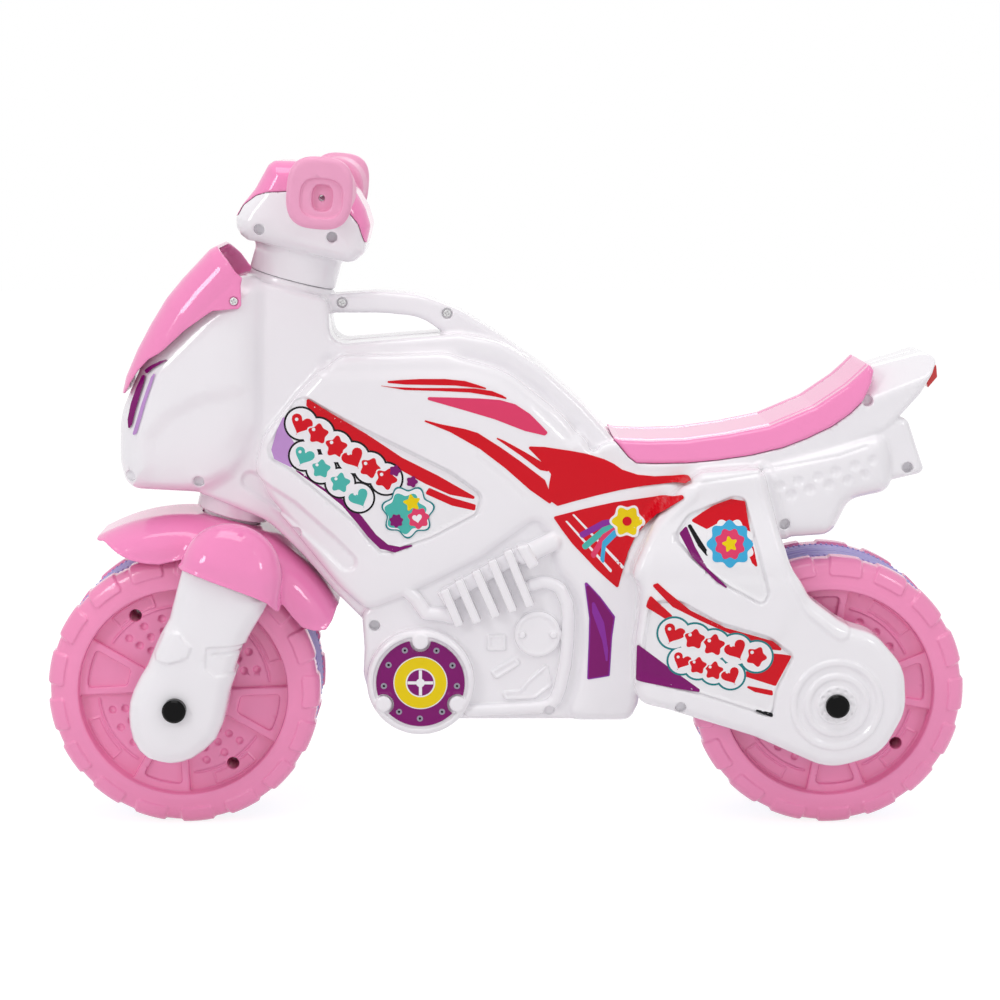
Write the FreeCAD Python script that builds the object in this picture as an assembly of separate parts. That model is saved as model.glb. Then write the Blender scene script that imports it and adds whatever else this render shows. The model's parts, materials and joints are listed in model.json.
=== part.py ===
import FreeCAD, Part
import math
import os

# Ride-on motorcycle for a small child, in millimetres.
# X runs from front to rear, -Y is the rider's left side, +Z is up.
# The origin is on the ground, half way between the wheels.

# Driving dimensions
wheelbase = 503.0
wheel_radius = 106.6
body_height = 155.0          # from the body's waist up to the top of the carry handle
wheel_cover = 48.4           # by which the waist is further above the axles than a wheel's radius
waist_share = 0.5            # of the body's rise, below which it follows the wheels
rake_angle = 15.0            # degrees, of the steering axis
body_corner = 20.0           # unit for the rounding of the body's outlines
overrun = 1.0                # by which every cut runs past its face
running_gap = 0.3
seam_gap = 0.3
wall = 3.6                   # of the frame's half shells

# Wheels
wheel_half_width = 48.5
hub_half_length = 49.4
hub_radius = 16.0
axle_radius = 5.0
web_thickness = 3.5
face_depth = 11.0            # of the wheel's face below its lip
tread_rise = 18.6            # from the wheel's lip out to its tread
lip_width = 7.0
rim_wall = 3.5
band_half_width = 26.0
band_depth = 3.4
band_groove_depth = 0.8
band_groove_width = 5.0
lug_height = 2.6
lug_count = 17
lug_share = 0.62             # of the pitch that a lug covers
lug_bevel = 4.0
pad_count = 4
pad_angle = 33.0
pad_start_angle = 14.0
pad_height = 2.2
pad_inner_radius = 34.0
pocket_margin = 6.0
pocket_depth = 2.4
tower_margin = 18.0          # from the lip in to the screws' circle
tower_radius = 6.5
tower_angles = (122.0, 302.0)
front_wheel_angle = 0.0
rear_wheel_angle = 20.0

# Screws
screw_radius = 1.6
screw_head_radius = 3.0
screw_head_height = 2.2
screw_well_radius = 3.6
screw_grip = 10.0            # length of the thread beyond the parting face
screw_seat = 12.0            # from the parting face to the head's seat
handle_screw_seat = 14.0
handle_screw_gap = 9.5         # behind the head tube
handle_screw_drop = 7.2        # below the head tube's top
screw_fit = 0.05
boss_radius = 5.6
arm_screw_gap = 5.73         # from the rear wheel's well to the swingarm's screw
arm_screw_angle = 181.2

# Frame
spine_half_width = 38.0
spine_edge = 4.5
cowl_half_width = 54.0
cowl_edge_share = 0.0298       # of the wheelbase
tank_half_width = 54.0
tank_edge = 11.0
engine_half_width = 46.0
engine_edge = 5.0
tail_half_width = 50.0
tail_edge = 4.0
strut_half_width = 72.0
strut_edge = 8.0
swingarm_half_width = 86.0
swingarm_edge = 9.0
muffler_half_width = 60.0
muffler_edge = 9.0
pipe_end_half_width = 50.0
pipe_end_edge = 8.0
handle_half_width = 17.0
handle_edge = 6.0
recess_depth = 1.5
wheel_well_gap = 6.4
wheel_well_side_gap = 4.0
dimple_radius = 4.2
dimple_depth = 1.2
dimple_pitch = 14.6
dimple_row_rise = 15.5         # degrees
dimple_counts = (6, 5)

# Engine relief
clutch_radius = 39.5
clutch_rise = 12.0
clutch_rim = 5.0
clutch_recess = 2.0
clutch_boss_radius = 6.5
clutch_boss_circle = 33.0
clutch_boss_angles = (90.0, 210.0, 330.0)
cover_radius = 18.5
cover_rise = 4.0
cover_pin_radius = 3.2
cover_pin_reach = 12.0
fin_count = 5
fin_length = 36.0
fin_width = 8.0
fin_pitch = 15.6
fin_rise = 9.0
fin_lean = 64.0              # degrees
fin_row_rise = 29.0          # degrees
loop_rise = 6.0
loop_edge = 2.5

# Rear axle boss
boss_ring_radii = (36.0, 26.0)
boss_ring_rise = 2.0
cap_radius = 9.0
cap_height = 7.0
cap_skirt = 4.5
axle_reach = 3.0             # of the axle beyond the face under its cap
washer_radius = 12.0
washer_thickness = 1.6

# Steering head, measured along the steering axis from the front axle
stem_radius = 22.0
stem_wall = 4.5
crown_gap = 6.4
crown_thickness = 14.0
crown_half_length = 28.0
fender_gap = 27.4
fender_room_gap = 3.0        # between the fender and the frame
fender_thickness = 3.5
collar_gap = 2.1
collar_radius = 28.5
collar_height = 14.0
head_radius = 33.0
head_share = 1.0596          # of the body's height, by which the head tube rises above the waist
neck_radius = 32.5
neck_height = 20.5
stem_bolt_radius = 4.0
stem_head_radius = 7.5
stem_head_height = 5.0
stem_nut_radius = 8.0
stem_nut_height = 6.0
stem_floor = 6.0             # under the bolt's head

# Fork
leg_width = 68.0
leg_gap = 3.5                # from the wheel's side to the leg
leg_outer = 101.0            # from the centre plane
leg_edge = 15.0
leg_wall = 4.0
leg_boss_radius = 11.0

# Fender
fender_half_width = 50.0
fender_flat_half_width = 28.0
fender_drop = 22.0
fender_front_angle = 116.0
fender_rear_angle = 25.0
bulge_gap = 1.0

# Visor
visor_thickness = 3.0
visor_back_share = 0.3
visor_screw_share = (-0.410, 0.985)

# Handlebar
bar_body_length = 104.0
bar_body_height = 68.0
bar_body_half_width = 52.0
bar_body_edge = 7.0
bar_wall = 3.2
bar_radius = 8.5
bar_reach = 138.0
bar_offset = 14.0            # of the grips behind the steering axis
bar_height = 54.5            # of the grips above the neck
grip_start = 60.0
grip_cover = 10.0            # of the grip beyond the bar's end
grip_radius = 22.5
grip_flange_radius = 25.6
grip_flange_length = 12.0
grip_socket = 6.0
grip_socket_half_width = 15.0
grip_corner_share = 0.62
bar_screw_shares = [(-0.304, 0.188), (0.229, 0.304)]

# Seat
seat_half_width = 54.0
seat_edge_share = 0.0119       # of the wheelbase
seat_edge_rise_share = 0.0387  # of the body's height
seat_wall = 4.0

# Tail light
light_half_width = 22.0

# Outlines of the frame: share of the wheelbase behind the origin, share of
# the body's rise above the axles, and corner in shares of the body corner
spine_shares = [
    (-0.469, 0.501, 0.3), (-0.366, 0.430, 2.0), (-0.314, 0.346, 3.0), (-0.264, 0.250, 3.0),
    (-0.223, 0.182, 0.5), (0.100, 0.150, 0.5), (0.190, 0.590, 0.5), (0.115, 0.724, 3.0),
    (0.054, 0.814, 4.0), (-0.010, 0.880, 3.0), (-0.072, 0.898, 1.0), (-0.268, 0.872, 0.6),
    (-0.272, 0.988, 0.5), (-0.378, 1.030, 0.5), (-0.469, 0.624, 1.0)]
handle_shares = [
    (-0.300, 0.988, 0.4), (-0.195, 1.000, 3.0), (-0.133, 0.992, 3.0), (-0.072, 0.955, 4.0),
    (-0.010, 0.892, 4.0), (0.054, 0.814, 0.4), (0.010, 0.790, 0.4), (-0.070, 0.860, 0.4),
    (-0.090, 0.888, 0.6), (-0.131, 0.937, 2.0), (-0.195, 0.946, 2.0), (-0.300, 0.946, 0.4)]
cowl_shares = [
    (-0.410, 1.043, 0.8), (-0.477, 0.965, 2.5), (-0.535, 0.850, 3.0), (-0.578, 0.714, 3.0),
    (-0.594, 0.585, 1.5), (-0.584, 0.511, 0.8), (-0.461, 0.501, 0.9), (-0.410, 0.546, 2.0),
    (-0.370, 0.682, 2.0), (-0.366, 1.037, 0)]
tank_shares = [
    (-0.262, 0.852, 1.2), (-0.087, 0.858, 3.0), (0.000, 0.820, 4.0), (0.089, 0.705, 4.0),
    (0.131, 0.617, 1.2), (0.199, 0.566, 1.5), (0.298, 0.546, 0.8), (0.278, 0.463, 1.0),
    (0.211, 0.317, 1.0), (0.205, -0.028, 0.8), (0.193, -0.071, 0.7), (0.083, -0.071, 0.7),
    (0.080, 0.237, 1.5), (0.058, 0.443, 1.0), (-0.040, 0.340, 3.0), (-0.159, 0.243, 3.0),
    (-0.215, 0.208, 0.7), (-0.258, 0.275, 3.0), (-0.370, 0.501, 2.0), (-0.384, 0.572, 0.9),
    (-0.370, 0.650, 1.0), (-0.318, 0.753, 1.5)]
engine_shares = [
    (-0.223, 0.205, 0.4), (-0.219, 0.111, 1.0), (-0.221, 0.043, 1.0), (-0.205, -0.041, 0.8),
    (-0.171, -0.095, 0.8), (-0.119, -0.104, 1.0), (-0.080, -0.071, 0.5), (0.191, -0.071, 0.4),
    (0.205, -0.028, 0.4), (0.205, 0.430, 0.5), (0.058, 0.463, 0.5), (-0.080, 0.317, 1.0)]
tail_shares = [
    (0.123, 0.611, 0.4), (0.159, 0.637, 0.6), (0.211, 0.633, 3.0), (0.272, 0.637, 3.0),
    (0.334, 0.654, 3.0), (0.398, 0.683, 4.0), (0.459, 0.724, 4.0), (0.541, 0.789, 0.5),
    (0.563, 0.816, 0.5), (0.640, 0.852, 0.5), (0.656, 0.838, 0.5), (0.628, 0.756, 0.6),
    (0.602, 0.708, 0.6), (0.577, 0.663, 1.0), (0.445, 0.588, 3.0), (0.294, 0.546, 3.0),
    (0.123, 0.521, 0.5)]
strut_shares = [
    (0.294, 0.569, 0.6), (0.384, 0.579, 0.5), (0.408, 0.424, 4.0), (0.425, 0.340, 3.0),
    (0.453, 0.263, 3.0), (0.408, 0.140, 1.0), (0.219, 0.205, 1.0), (0.191, 0.327, 0.7),
    (0.223, 0.440, 3.0), (0.258, 0.521, 3.0)]
swingarm_shares = [
    (0.207, 0.314, 0.7), (0.427, 0.321, 0.9), (0.457, 0.256, 2.0), (0.505, 0.198, 1.2),
    (0.559, 0.172, 1.5), (0.604, 0.088, 1.8), (0.608, -0.021, 1.8), (0.573, -0.131, 1.7),
    (0.493, -0.170, 2.0), (0.378, -0.086, 3.0), (0.247, -0.018, 2.0), (0.197, 0.001, 0.7),
    (0.193, 0.140, 2.0)]
muffler_shares = [
    (0.378, 0.417, 0.8), (0.378, 0.579, 0.8), (0.571, 0.663, 0.8), (0.594, 0.517, 0.8),
    (0.525, 0.485, 0.8), (0.499, 0.430, 0.8), (0.481, 0.408, 0.8), (0.398, 0.405, 0.8)]
pipe_end_shares = [
    (0.555, 0.655, 0.5), (0.604, 0.711, 0.5), (0.620, 0.634, 1.0), (0.634, 0.567, 0.5),
    (0.592, 0.537, 0.5), (0.560, 0.545, 0.5)]
recess_front_shares = [
    (-0.364, 0.624, 0.5), (-0.314, 0.759, 0.5), (-0.245, 0.695, 2.0), (-0.085, 0.566, 3.0),
    (-0.036, 0.508, 0.4), (-0.044, 0.456, 0.4), (-0.115, 0.395, 2.0), (-0.191, 0.353, 0.5),
    (-0.235, 0.437, 3.0), (-0.326, 0.563, 1.5), (-0.360, 0.595, 0.4)]
recess_strut_shares = [
    (0.249, 0.414, 0.4), (0.272, 0.469, 0.7), (0.342, 0.514, 0.8), (0.358, 0.508, 0.3),
    (0.376, 0.401, 3.0), (0.396, 0.279, 0.3), (0.386, 0.246, 0.3), (0.324, 0.301, 3.0),
    (0.276, 0.366, 1.5)]
recess_arm_shares = [
    (0.205, 0.146, 2.0), (0.215, 0.263, 0.6), (0.260, 0.263, 1.0), (0.320, 0.208, 2.0),
    (0.396, 0.172, 1.0), (0.435, 0.124, 0.3), (0.410, 0.037, 1.0), (0.404, -0.034, 0.3),
    (0.294, 0.024, 3.0), (0.205, 0.063, 0.3)]
dimple_start_shares = [(0.4153, 0.5319), (0.4322, 0.5084)]
loop_shares = [
    (0.012, 0.302, 0.4), (0.060, 0.318, 1.0), (0.108, 0.262, 1.2), (0.114, 0.115, 2.0),
    (0.104, -0.010, 1.4), (0.080, -0.060, 0.5), (-0.050, -0.062, 0.4), (-0.046, -0.022, 0.4),
    (0.062, -0.018, 0.5), (0.080, 0.020, 1.0), (0.088, 0.115, 2.0), (0.082, 0.226, 0.6),
    (0.052, 0.268, 0.6), (0.014, 0.262, 0.4)]
clutch_place_shares = (-0.132, 0.038)
cover_place_shares = (0.048, 0.147)
fin_place_shares = (-0.086, 0.222)
frame_screw_shares = [
    (0.133, 0.625), (0.547, 0.738), (0.423, 0.435), (0.611, 0.572), (0.067, -0.044),
    (-0.203, 0.171), (-0.322, 0.410), (-0.470, 0.537), (-0.574, 0.550)]
handle_screw_share = (-0.091, 0.945)
visor_shares = [
    (-0.435, 1.117, 0.4), (-0.560, 1.117, 1.0), (-0.640, 0.860, 1.0),
    (-0.592, 0.742, 0.3), (-0.569, 0.769, 0.4), (-0.555, 0.817, 0.8), (-0.509, 0.872, 1.5),
    (-0.445, 0.955, 0.8), (-0.402, 0.963, 0.5), (-0.396, 1.024, 0.4), (-0.410, 1.066, 0.6)]
visor_front_shares = [(-0.395, 1.168), (-0.545, 0.918), (-0.603, 0.670)]
seat_shares = [
    (0.150, 0.640, 0.8), (0.272, 0.655, 4.0), (0.334, 0.671, 4.0),
    (0.396, 0.700, 5.0), (0.459, 0.743, 5.0), (0.558, 0.820, 0.8),
    (0.540, 0.735, 2.0), (0.445, 0.653, 4.0),
    (0.354, 0.598, 4.0), (0.264, 0.577, 4.0), (0.190, 0.580, 1.5)]
light_shares = [(0.646, 0.822, 0.1), (0.660, 0.800, 0.2), (0.649, 0.765, 0.1), (0.636, 0.790, 0.1)]

# Outlines in the steering head's own frame: across in shares of the leg's
# width or the bar body's length, up in shares of the height given beside each
fork_shares = [
    (-0.507, -0.142, 1.1), (-0.507, 0.063, 0.8), (-0.382, 0.236, 0.8), (-0.324, 0.472, 2.0),
    (-0.331, 1.000, 0.8), (0.529, 1.000, 1.2), (0.662, 0.787, 1.5), (0.559, 0.472, 2.0),
    (0.500, 0.157, 2.0), (0.500, -0.142, 1.2), (0.294, -0.370, 1.4), (-0.294, -0.370, 1.4)]
bulge_shares = [
    (-0.397, 0.684, 0.2), (-0.397, 1.000, 0.8), (0.529, 1.000, 1.5), (0.735, 0.815, 1.3),
    (0.700, 0.640, 0.2)]
bar_body_shares = [
    (-0.510, 0.044, 0.5), (-0.520, 0.221, 0.4), (-0.423, 0.544, 2.0), (-0.346, 0.926, 0.5),
    (-0.250, 0.985, 0.6), (0.000, 0.956, 3.0), (0.212, 1.000, 0.7), (0.346, 0.794, 2.0),
    (0.471, 0.485, 1.0), (0.481, 0.162, 0.6), (0.413, 0.029, 0.5), (0.327, 0.000, 0.3),
    (-0.327, 0.000, 0.3)]
cover_arch_shares = [
    (-0.560, 0.200, 0.3), (-0.400, 0.420, 1.5), (-0.250, 0.580, 2.0), (0.250, 0.580, 2.0),
    (0.400, 0.420, 1.5), (0.560, 0.200, 0.3)]

origin = FreeCAD.Vector(0, 0, 0)
along_y = FreeCAD.Vector(0, 1, 0)
along_x = FreeCAD.Vector(1, 0, 0)
along_z = FreeCAD.Vector(0, 0, 1)
front_axle = FreeCAD.Vector(-wheelbase / 2, 0, wheel_radius)
rear_axle_place = FreeCAD.Vector(wheelbase / 2, 0, wheel_radius)

# Sizes that follow from the ones above
waist_rise = wheel_radius + wheel_cover
cowl_edge = wheelbase * cowl_edge_share
seat_edge = min(wheelbase * seat_edge_share, body_height * seat_edge_rise_share)
visor_edge = cowl_edge + seam_gap + visor_thickness / 4
lip_radius = wheel_radius - tread_rise
tower_circle_radius = lip_radius - tower_margin
grip_end = bar_reach + grip_cover
bevel_share = 2 - math.sqrt(2)
crown_bottom = wheel_radius + crown_gap
crown_top = crown_bottom + crown_thickness
fender_inner = wheel_radius + fender_gap
fender_outer = fender_inner + fender_thickness
fender_room_radius = fender_outer + fender_room_gap
collar_bottom = fender_outer + collar_gap
head_top = (waist_rise + body_height * head_share) / math.cos(math.radians(rake_angle))
neck_bottom = head_top + seam_gap
neck_top = neck_bottom + neck_height
stem_top = neck_top + bar_wall
head_bore = stem_radius + running_gap
leg_inner = wheel_half_width + leg_gap
well_radius = wheel_radius + wheel_well_gap
well_half_width = wheel_half_width + wheel_well_side_gap
axle_bore = axle_radius + running_gap
tread_radius = wheel_radius - lug_height
barrel_radius = tread_radius - band_depth
web_outer = wheel_half_width - face_depth
web_inner = web_outer - web_thickness


def at(x_share, z_share):
    """A place on the frame, from its two shares."""
    below, above = min(z_share, waist_share), max(z_share - waist_share, 0)
    rise = waist_rise * below / waist_share + body_height * above / (1 - waist_share)
    return (wheelbase * x_share, wheel_radius + rise)


def placed(rows):
    """Outline rows of the frame as places and corner radii."""
    return [at(row[0], row[1]) + (body_corner * row[2],) for row in rows]


def scaled(rows, across, height, start):
    """Outline rows of the steering head as places and corner radii."""
    return [(across * row[0], start + height * row[1], body_corner * row[2]) for row in rows]


def turn_of(points):
    """Plus one for a loop that runs against the clock, minus one for one that runs with it."""
    area = 0
    for index, point in enumerate(points):
        before = points[index - 1]
        area += before[0] * point[1] - point[0] * before[1]
    return 1 if area > 0 else -1


def inset(points, distance):
    """The same outline drawn in by a distance, with its corners kept concentric."""
    turn = turn_of(points)
    result = []
    count = len(points)
    for index in range(count):
        a, b, c = points[index - 1], points[index], points[(index + 1) % count]
        first = FreeCAD.Vector(b[0] - a[0], b[1] - a[1], 0).normalize()
        second = FreeCAD.Vector(c[0] - b[0], c[1] - b[1], 0).normalize()
        normal_1 = FreeCAD.Vector(-first.y, first.x, 0) * turn
        normal_2 = FreeCAD.Vector(-second.y, second.x, 0) * turn
        middle = normal_1 + normal_2
        shift = middle * (2 * distance / middle.dot(middle))
        convex = (first.x * second.y - first.y * second.x) * turn > 0
        radius = b[2] - distance if convex else b[2] + distance
        result.append((b[0] + shift.x, b[1] + shift.y, max(radius, distance / 4) if b[2] else 0))
    return result


def loop_wire(points, y):
    """A closed wire in the plane at y, straight runs joined by tangent arcs."""
    count = len(points)
    ends = []
    for index in range(count):
        a, b, c = points[index - 1], points[index], points[(index + 1) % count]
        corner = FreeCAD.Vector(b[0], y, b[1])
        back = FreeCAD.Vector(a[0], y, a[1]) - corner
        ahead = FreeCAD.Vector(c[0], y, c[1]) - corner
        half_angle = back.getAngle(ahead) / 2
        room = 0.47 * min(back.Length, ahead.Length)
        reach = min(b[2] / math.tan(half_angle), room)
        if not b[2]:
            ends.append((corner, None, corner))
            continue
        radius = reach * math.tan(half_angle)
        back.normalize()
        ahead.normalize()
        start, end = corner + back * reach, corner + ahead * reach
        bisector = (back + ahead).normalize()
        centre = corner + bisector * (radius / math.sin(half_angle))
        ends.append((start, centre - bisector * radius, end))
    edges = []
    for index in range(count):
        start, middle, end = ends[index]
        if middle:
            edges.append(Part.Arc(start, middle, end).toShape())
        edges.append(Part.LineSegment(end, ends[(index + 1) % count][0]).toShape())
    return Part.Wire(edges)


def slab(points, y_from, y_to):
    """The outline's prism between two planes across the bike."""
    face = Part.Face(loop_wire(points, y_from))
    return face.extrude(along_y * (y_to - y_from))


def rim_edges(shape, y):
    """The edges of a shape that lie in the plane at y."""
    flat = wall / 100
    return [edge for edge in shape.Edges
            if abs(edge.BoundBox.YMin - y) < flat and abs(edge.BoundBox.YMax - y) < flat]


def pod(points, half_width, edge):
    """A half pod from the centre plane to the left, with a rounded outer rim."""
    shape = slab(points, 0, -half_width)
    return shape.makeFillet(edge, rim_edges(shape, -half_width))


def bevelled(points, half_width, edge):
    """A half pod whose outer rim is bevelled."""
    shape = slab(points, 0, -half_width)
    return shape.makeChamfer(edge * bevel_share, rim_edges(shape, -half_width))


def pod_inside(points, half_width, edge):
    """The room inside a half pod, one wall smaller all round, with plain corners and a bevelled rim."""
    corners = [FreeCAD.Vector(x, 0, z) for x, z, radius in inset(points, wall)]
    face = Part.Face(Part.makePolygon(corners + corners[:1]))
    shape = face.extrude(along_y * (wall - half_width))
    bevel = (edge - wall) * bevel_share
    return shape.makeChamfer(bevel, rim_edges(shape, wall - half_width)) if bevel > 0 else shape


def rod(radius, y_from, y_to, place=origin):
    """A round bar along Y through a place."""
    base = FreeCAD.Vector(place.x, y_from, place.z)
    return Part.makeCylinder(radius, y_to - y_from, base, along_y)


def ring(outer, inner, y_from, y_to, place=origin):
    """A round bar along Y with a bore."""
    return rod(outer, y_from, y_to, place).cut(rod(inner, y_from - overrun, y_to + overrun, place))


def post(radius, low, high):
    """A round bar along the steering axis, in the steering head's own frame."""
    return Part.makeCylinder(radius, high - low, FreeCAD.Vector(0, 0, low), along_z)


def fused(shapes):
    """All the shapes as one."""
    return shapes[0].multiFuse(shapes[1:]) if len(shapes) > 1 else shapes[0]


def group(shapes):
    """Separate solids kept in one node."""
    return Part.makeCompound(shapes)


def steered(shape):
    """A shape of the steering head's own frame, put on the bike."""
    moved = shape.copy()
    moved.rotate(origin, along_y, rake_angle)
    moved.translate(front_axle)
    return moved


def mirrored(shape):
    """The same shape on the bike's other side."""
    return shape.mirror(origin, along_y)


def spot(shares):
    """A place on the frame as a point in the centre plane."""
    x, z = at(shares[0], shares[1])
    return FreeCAD.Vector(x, 0, z)


def round_pattern(radius, angle, centre):
    """A point on a circle in the centre plane."""
    turn = math.radians(angle)
    return centre + FreeCAD.Vector(radius * math.cos(turn), 0, radius * math.sin(turn))


# Screws and their seats

def screw(place, seat):
    """A self-tapping screw along Y whose head sits at -seat."""
    shaft = rod(screw_radius, -seat, screw_grip, place)
    head = rod(screw_head_radius, -seat - screw_head_height, -seat, place)
    return fused([shaft, head])


def screw_bore(place, seat, far):
    """The room that a screw needs: pilot, clearance and the well down to its head."""
    pilot = rod(screw_radius + screw_fit, -seat - overrun, screw_grip + overrun, place)
    well = rod(screw_well_radius, -far, -seat, place)
    return fused([pilot, well])


# Wheels

def wheel_profile():
    """Half of a wheel's section, radius against distance from the centre plane."""
    shell = tread_radius - rim_wall
    barrel = barrel_radius - rim_wall
    lip_inner = lip_radius - lip_width
    lip_wall = lip_inner + rim_wall
    return [
        (axle_bore, 0), (hub_radius, 0), (hub_radius, web_inner), (lip_wall, web_inner),
        (lip_wall, wheel_half_width - rim_wall), (shell, wheel_half_width - rim_wall),
        (shell, band_half_width), (barrel, band_half_width - rim_wall), (barrel, 0),
        (barrel_radius, 0), (barrel_radius, band_half_width), (tread_radius, band_half_width),
        (tread_radius, wheel_half_width - rim_wall), (lip_radius, wheel_half_width - rim_wall / 2),
        (lip_radius, wheel_half_width), (lip_inner, wheel_half_width), (lip_inner, web_outer),
        (hub_radius + web_thickness, web_outer), (hub_radius, hub_half_length),
        (axle_bore, hub_half_length)]


def spun(points, angle):
    """A section of radius and distance points, spun about Y."""
    corners = [FreeCAD.Vector(r, -y, 0) for r, y in points]
    face = Part.Face(Part.makePolygon(corners + corners[:1]))
    return face.revolve(origin, along_y, angle)


def lug():
    """One tread block on the wheel's shoulder, centred on +X."""
    angle = lug_share * 360 / lug_count
    inner = lip_radius + running_gap
    low = wheel_half_width - rim_wall - overrun
    block = spun([
        (tread_radius - rim_wall / 2, band_half_width), (tread_radius, band_half_width),
        (wheel_radius, band_half_width + lug_height), (wheel_radius, wheel_half_width - lug_bevel),
        (wheel_radius - lug_bevel, wheel_half_width), (inner, wheel_half_width), (inner, low),
        (tread_radius - rim_wall / 2, low)], angle)
    block.rotate(origin, along_y, -angle / 2)
    return block


def sector(inner, outer, angle, y_from, y_to):
    """A block between two radii, centred on +X."""
    block = spun([(inner, y_from), (outer, y_from), (outer, y_to), (inner, y_to)], angle)
    block.rotate(origin, along_y, -angle / 2)
    return block


def face_pad():
    """One raised pad of the wheel's face, with its pocket."""
    outer = lip_radius - lip_width
    pad = sector(pad_inner_radius, outer + rim_wall / 2, pad_angle, web_inner, web_outer + pad_height)
    share = math.degrees(pocket_margin / (pad_inner_radius + pocket_margin))
    pocket = sector(pad_inner_radius + pocket_margin, outer - pocket_margin, pad_angle - share,
                    web_outer + pad_height - pocket_depth, web_outer + pad_height + overrun)
    return pad.cut(pocket)


def wheel_blank(turn):
    """The left half of a wheel before its screw holes, about the Y axis."""
    parts = [spun(wheel_profile(), 360)]
    for index in range(lug_count):
        block = lug()
        block.rotate(origin, along_y, 360 / lug_count * index)
        parts.append(block)
    for index in range(pad_count):
        pad = face_pad()
        pad.rotate(origin, along_y, pad_start_angle - turn + 360 / pad_count * index)
        parts.append(pad)
    for place in tower_places(turn):
        parts.append(rod(tower_radius, -web_inner - overrun, 0, place))
    return fused(parts)


def tower_places(turn):
    """Where a wheel's screws stand."""
    return [round_pattern(tower_circle_radius, angle + turn, origin) for angle in tower_angles]


def wheel_halves(turn):
    """The left half with its screw wells and the right half with its pilot holes."""
    blank = wheel_blank(turn)
    places = tower_places(turn)
    left = blank.cut([screw_bore(place, screw_seat, wheel_half_width + overrun) for place in places])
    right = mirrored(blank).cut([screw_bore(place, screw_seat, screw_seat + overrun) for place in places])
    return left, right


def tread_band():
    """The soft band that sits in the channel between the two rows of lugs."""
    outer = tread_radius + lug_height / 4
    inner = barrel_radius + running_gap
    side = band_half_width - running_gap
    groove = outer - band_groove_depth
    half_groove = band_groove_width / 2
    return spun([
        (inner, -side), (outer, -side), (outer, -half_groove), (groove, -half_groove),
        (groove, half_groove), (outer, half_groove), (outer, side), (inner, side)], 360)


def wheel(name, turn, place):
    """All the nodes of one wheel."""
    left, right = wheel_halves(turn)
    screws = [screw(place, screw_seat) for place in tower_places(turn)]
    pieces = {name + "_left": left, name + "_right": right,
              name.replace("wheel", "tread_band"): tread_band(), name + "_screws": group(screws)}
    for piece in pieces.values():
        piece.translate(place)
    return pieces


def axle_set(name, reach, place, boss_face):
    """An axle, its two caps and its two washers."""
    axle = rod(axle_radius, -reach, reach, place)
    caps = []
    washers = []
    for side in (-1, 1):
        outer = side * (boss_face + cap_height)
        low, high = min(side * boss_face, outer), max(side * boss_face, outer)
        cap = rod(cap_radius, low, high, place)
        skirt = side * (boss_face + cap_skirt)
        low, high = min(side * (boss_face - overrun), skirt), max(side * (boss_face - overrun), skirt)
        cap = cap.cut(rod(axle_radius + screw_fit, low, high, place))
        edge = [e for e in cap.Edges if abs(e.BoundBox.YMin - outer) < screw_fit
                and abs(e.BoundBox.YMax - outer) < screw_fit]
        caps.append(cap.makeChamfer((cap_height - cap_skirt) * bevel_share, edge))
        near = side * (hub_half_length + running_gap)
        far = side * (hub_half_length + running_gap + washer_thickness)
        washers.append(ring(washer_radius, axle_bore, min(near, far), max(near, far), place))
    return {name + "_axle": axle, name + "_axle_caps": group(caps), name + "_washers": group(washers)}


# Frame

def frame_pods():
    """Outline, half width, rim and kind of rim of every pod that makes the frame's shell."""
    return [
        (placed(spine_shares), spine_half_width, spine_edge, bevelled),
        (placed(cowl_shares), cowl_half_width, cowl_edge, pod),
        (placed(tank_shares), tank_half_width, tank_edge, pod),
        (placed(engine_shares), engine_half_width, engine_edge, bevelled),
        (placed(tail_shares), tail_half_width, tail_edge, bevelled),
        (placed(strut_shares), strut_half_width, strut_edge, bevelled),
        (placed(swingarm_shares), swingarm_half_width, swingarm_edge, pod),
        (placed(muffler_shares), muffler_half_width, muffler_edge, bevelled),
        (placed(pipe_end_shares), pipe_end_half_width, pipe_end_edge, bevelled),
        (placed(handle_shares), handle_half_width, handle_edge, bevelled)]


def engine_relief():
    """Clutch cover, round cover, fins and pipe loop that stand out of the engine block."""
    parts = []
    clutch = spot(clutch_place_shares)
    face = engine_half_width + clutch_rise
    disc = rod(clutch_radius, -face, 0, clutch)
    disc = disc.cut(rod(clutch_radius - clutch_rim, -face - overrun, clutch_recess - face, clutch))
    parts.append(disc)
    for angle in clutch_boss_angles:
        place = round_pattern(clutch_boss_circle, angle, clutch)
        parts.append(rod(clutch_boss_radius, -face - clutch_recess, -engine_half_width, place))
    cover = spot(cover_place_shares)
    parts.append(rod(cover_radius, -engine_half_width - cover_rise, -engine_half_width + wall, cover))
    for side in (-1, 1):
        place = cover + along_x * (side * cover_pin_reach)
        parts.append(rod(cover_pin_radius, -engine_half_width - cover_rise - recess_depth,
                         -engine_half_width, place))
    start = spot(fin_place_shares)
    for index in range(fin_count):
        fin = Part.makeBox(fin_length, fin_rise + wall, fin_width,
                           FreeCAD.Vector(-fin_length / 2, -engine_half_width - fin_rise, -fin_width / 2))
        fin.rotate(origin, along_y, fin_lean)
        step = FreeCAD.Vector(math.cos(math.radians(fin_row_rise)), 0, math.sin(math.radians(fin_row_rise)))
        fin.translate(start + step * (fin_pitch * index))
        parts.append(fin)
    parts.append(bevelled(placed(loop_shares), engine_half_width + loop_rise, loop_edge))
    return parts


def axle_boss():
    """The stepped round boss over the rear axle's end."""
    parts = []
    for step, radius in enumerate(boss_ring_radii):
        outer = swingarm_half_width + boss_ring_rise * (1 - step)
        parts.append(ring(radius, radius - wall, -outer - boss_ring_rise * step, -swingarm_half_width + wall,
                          rear_axle_place))
    return parts


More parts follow.
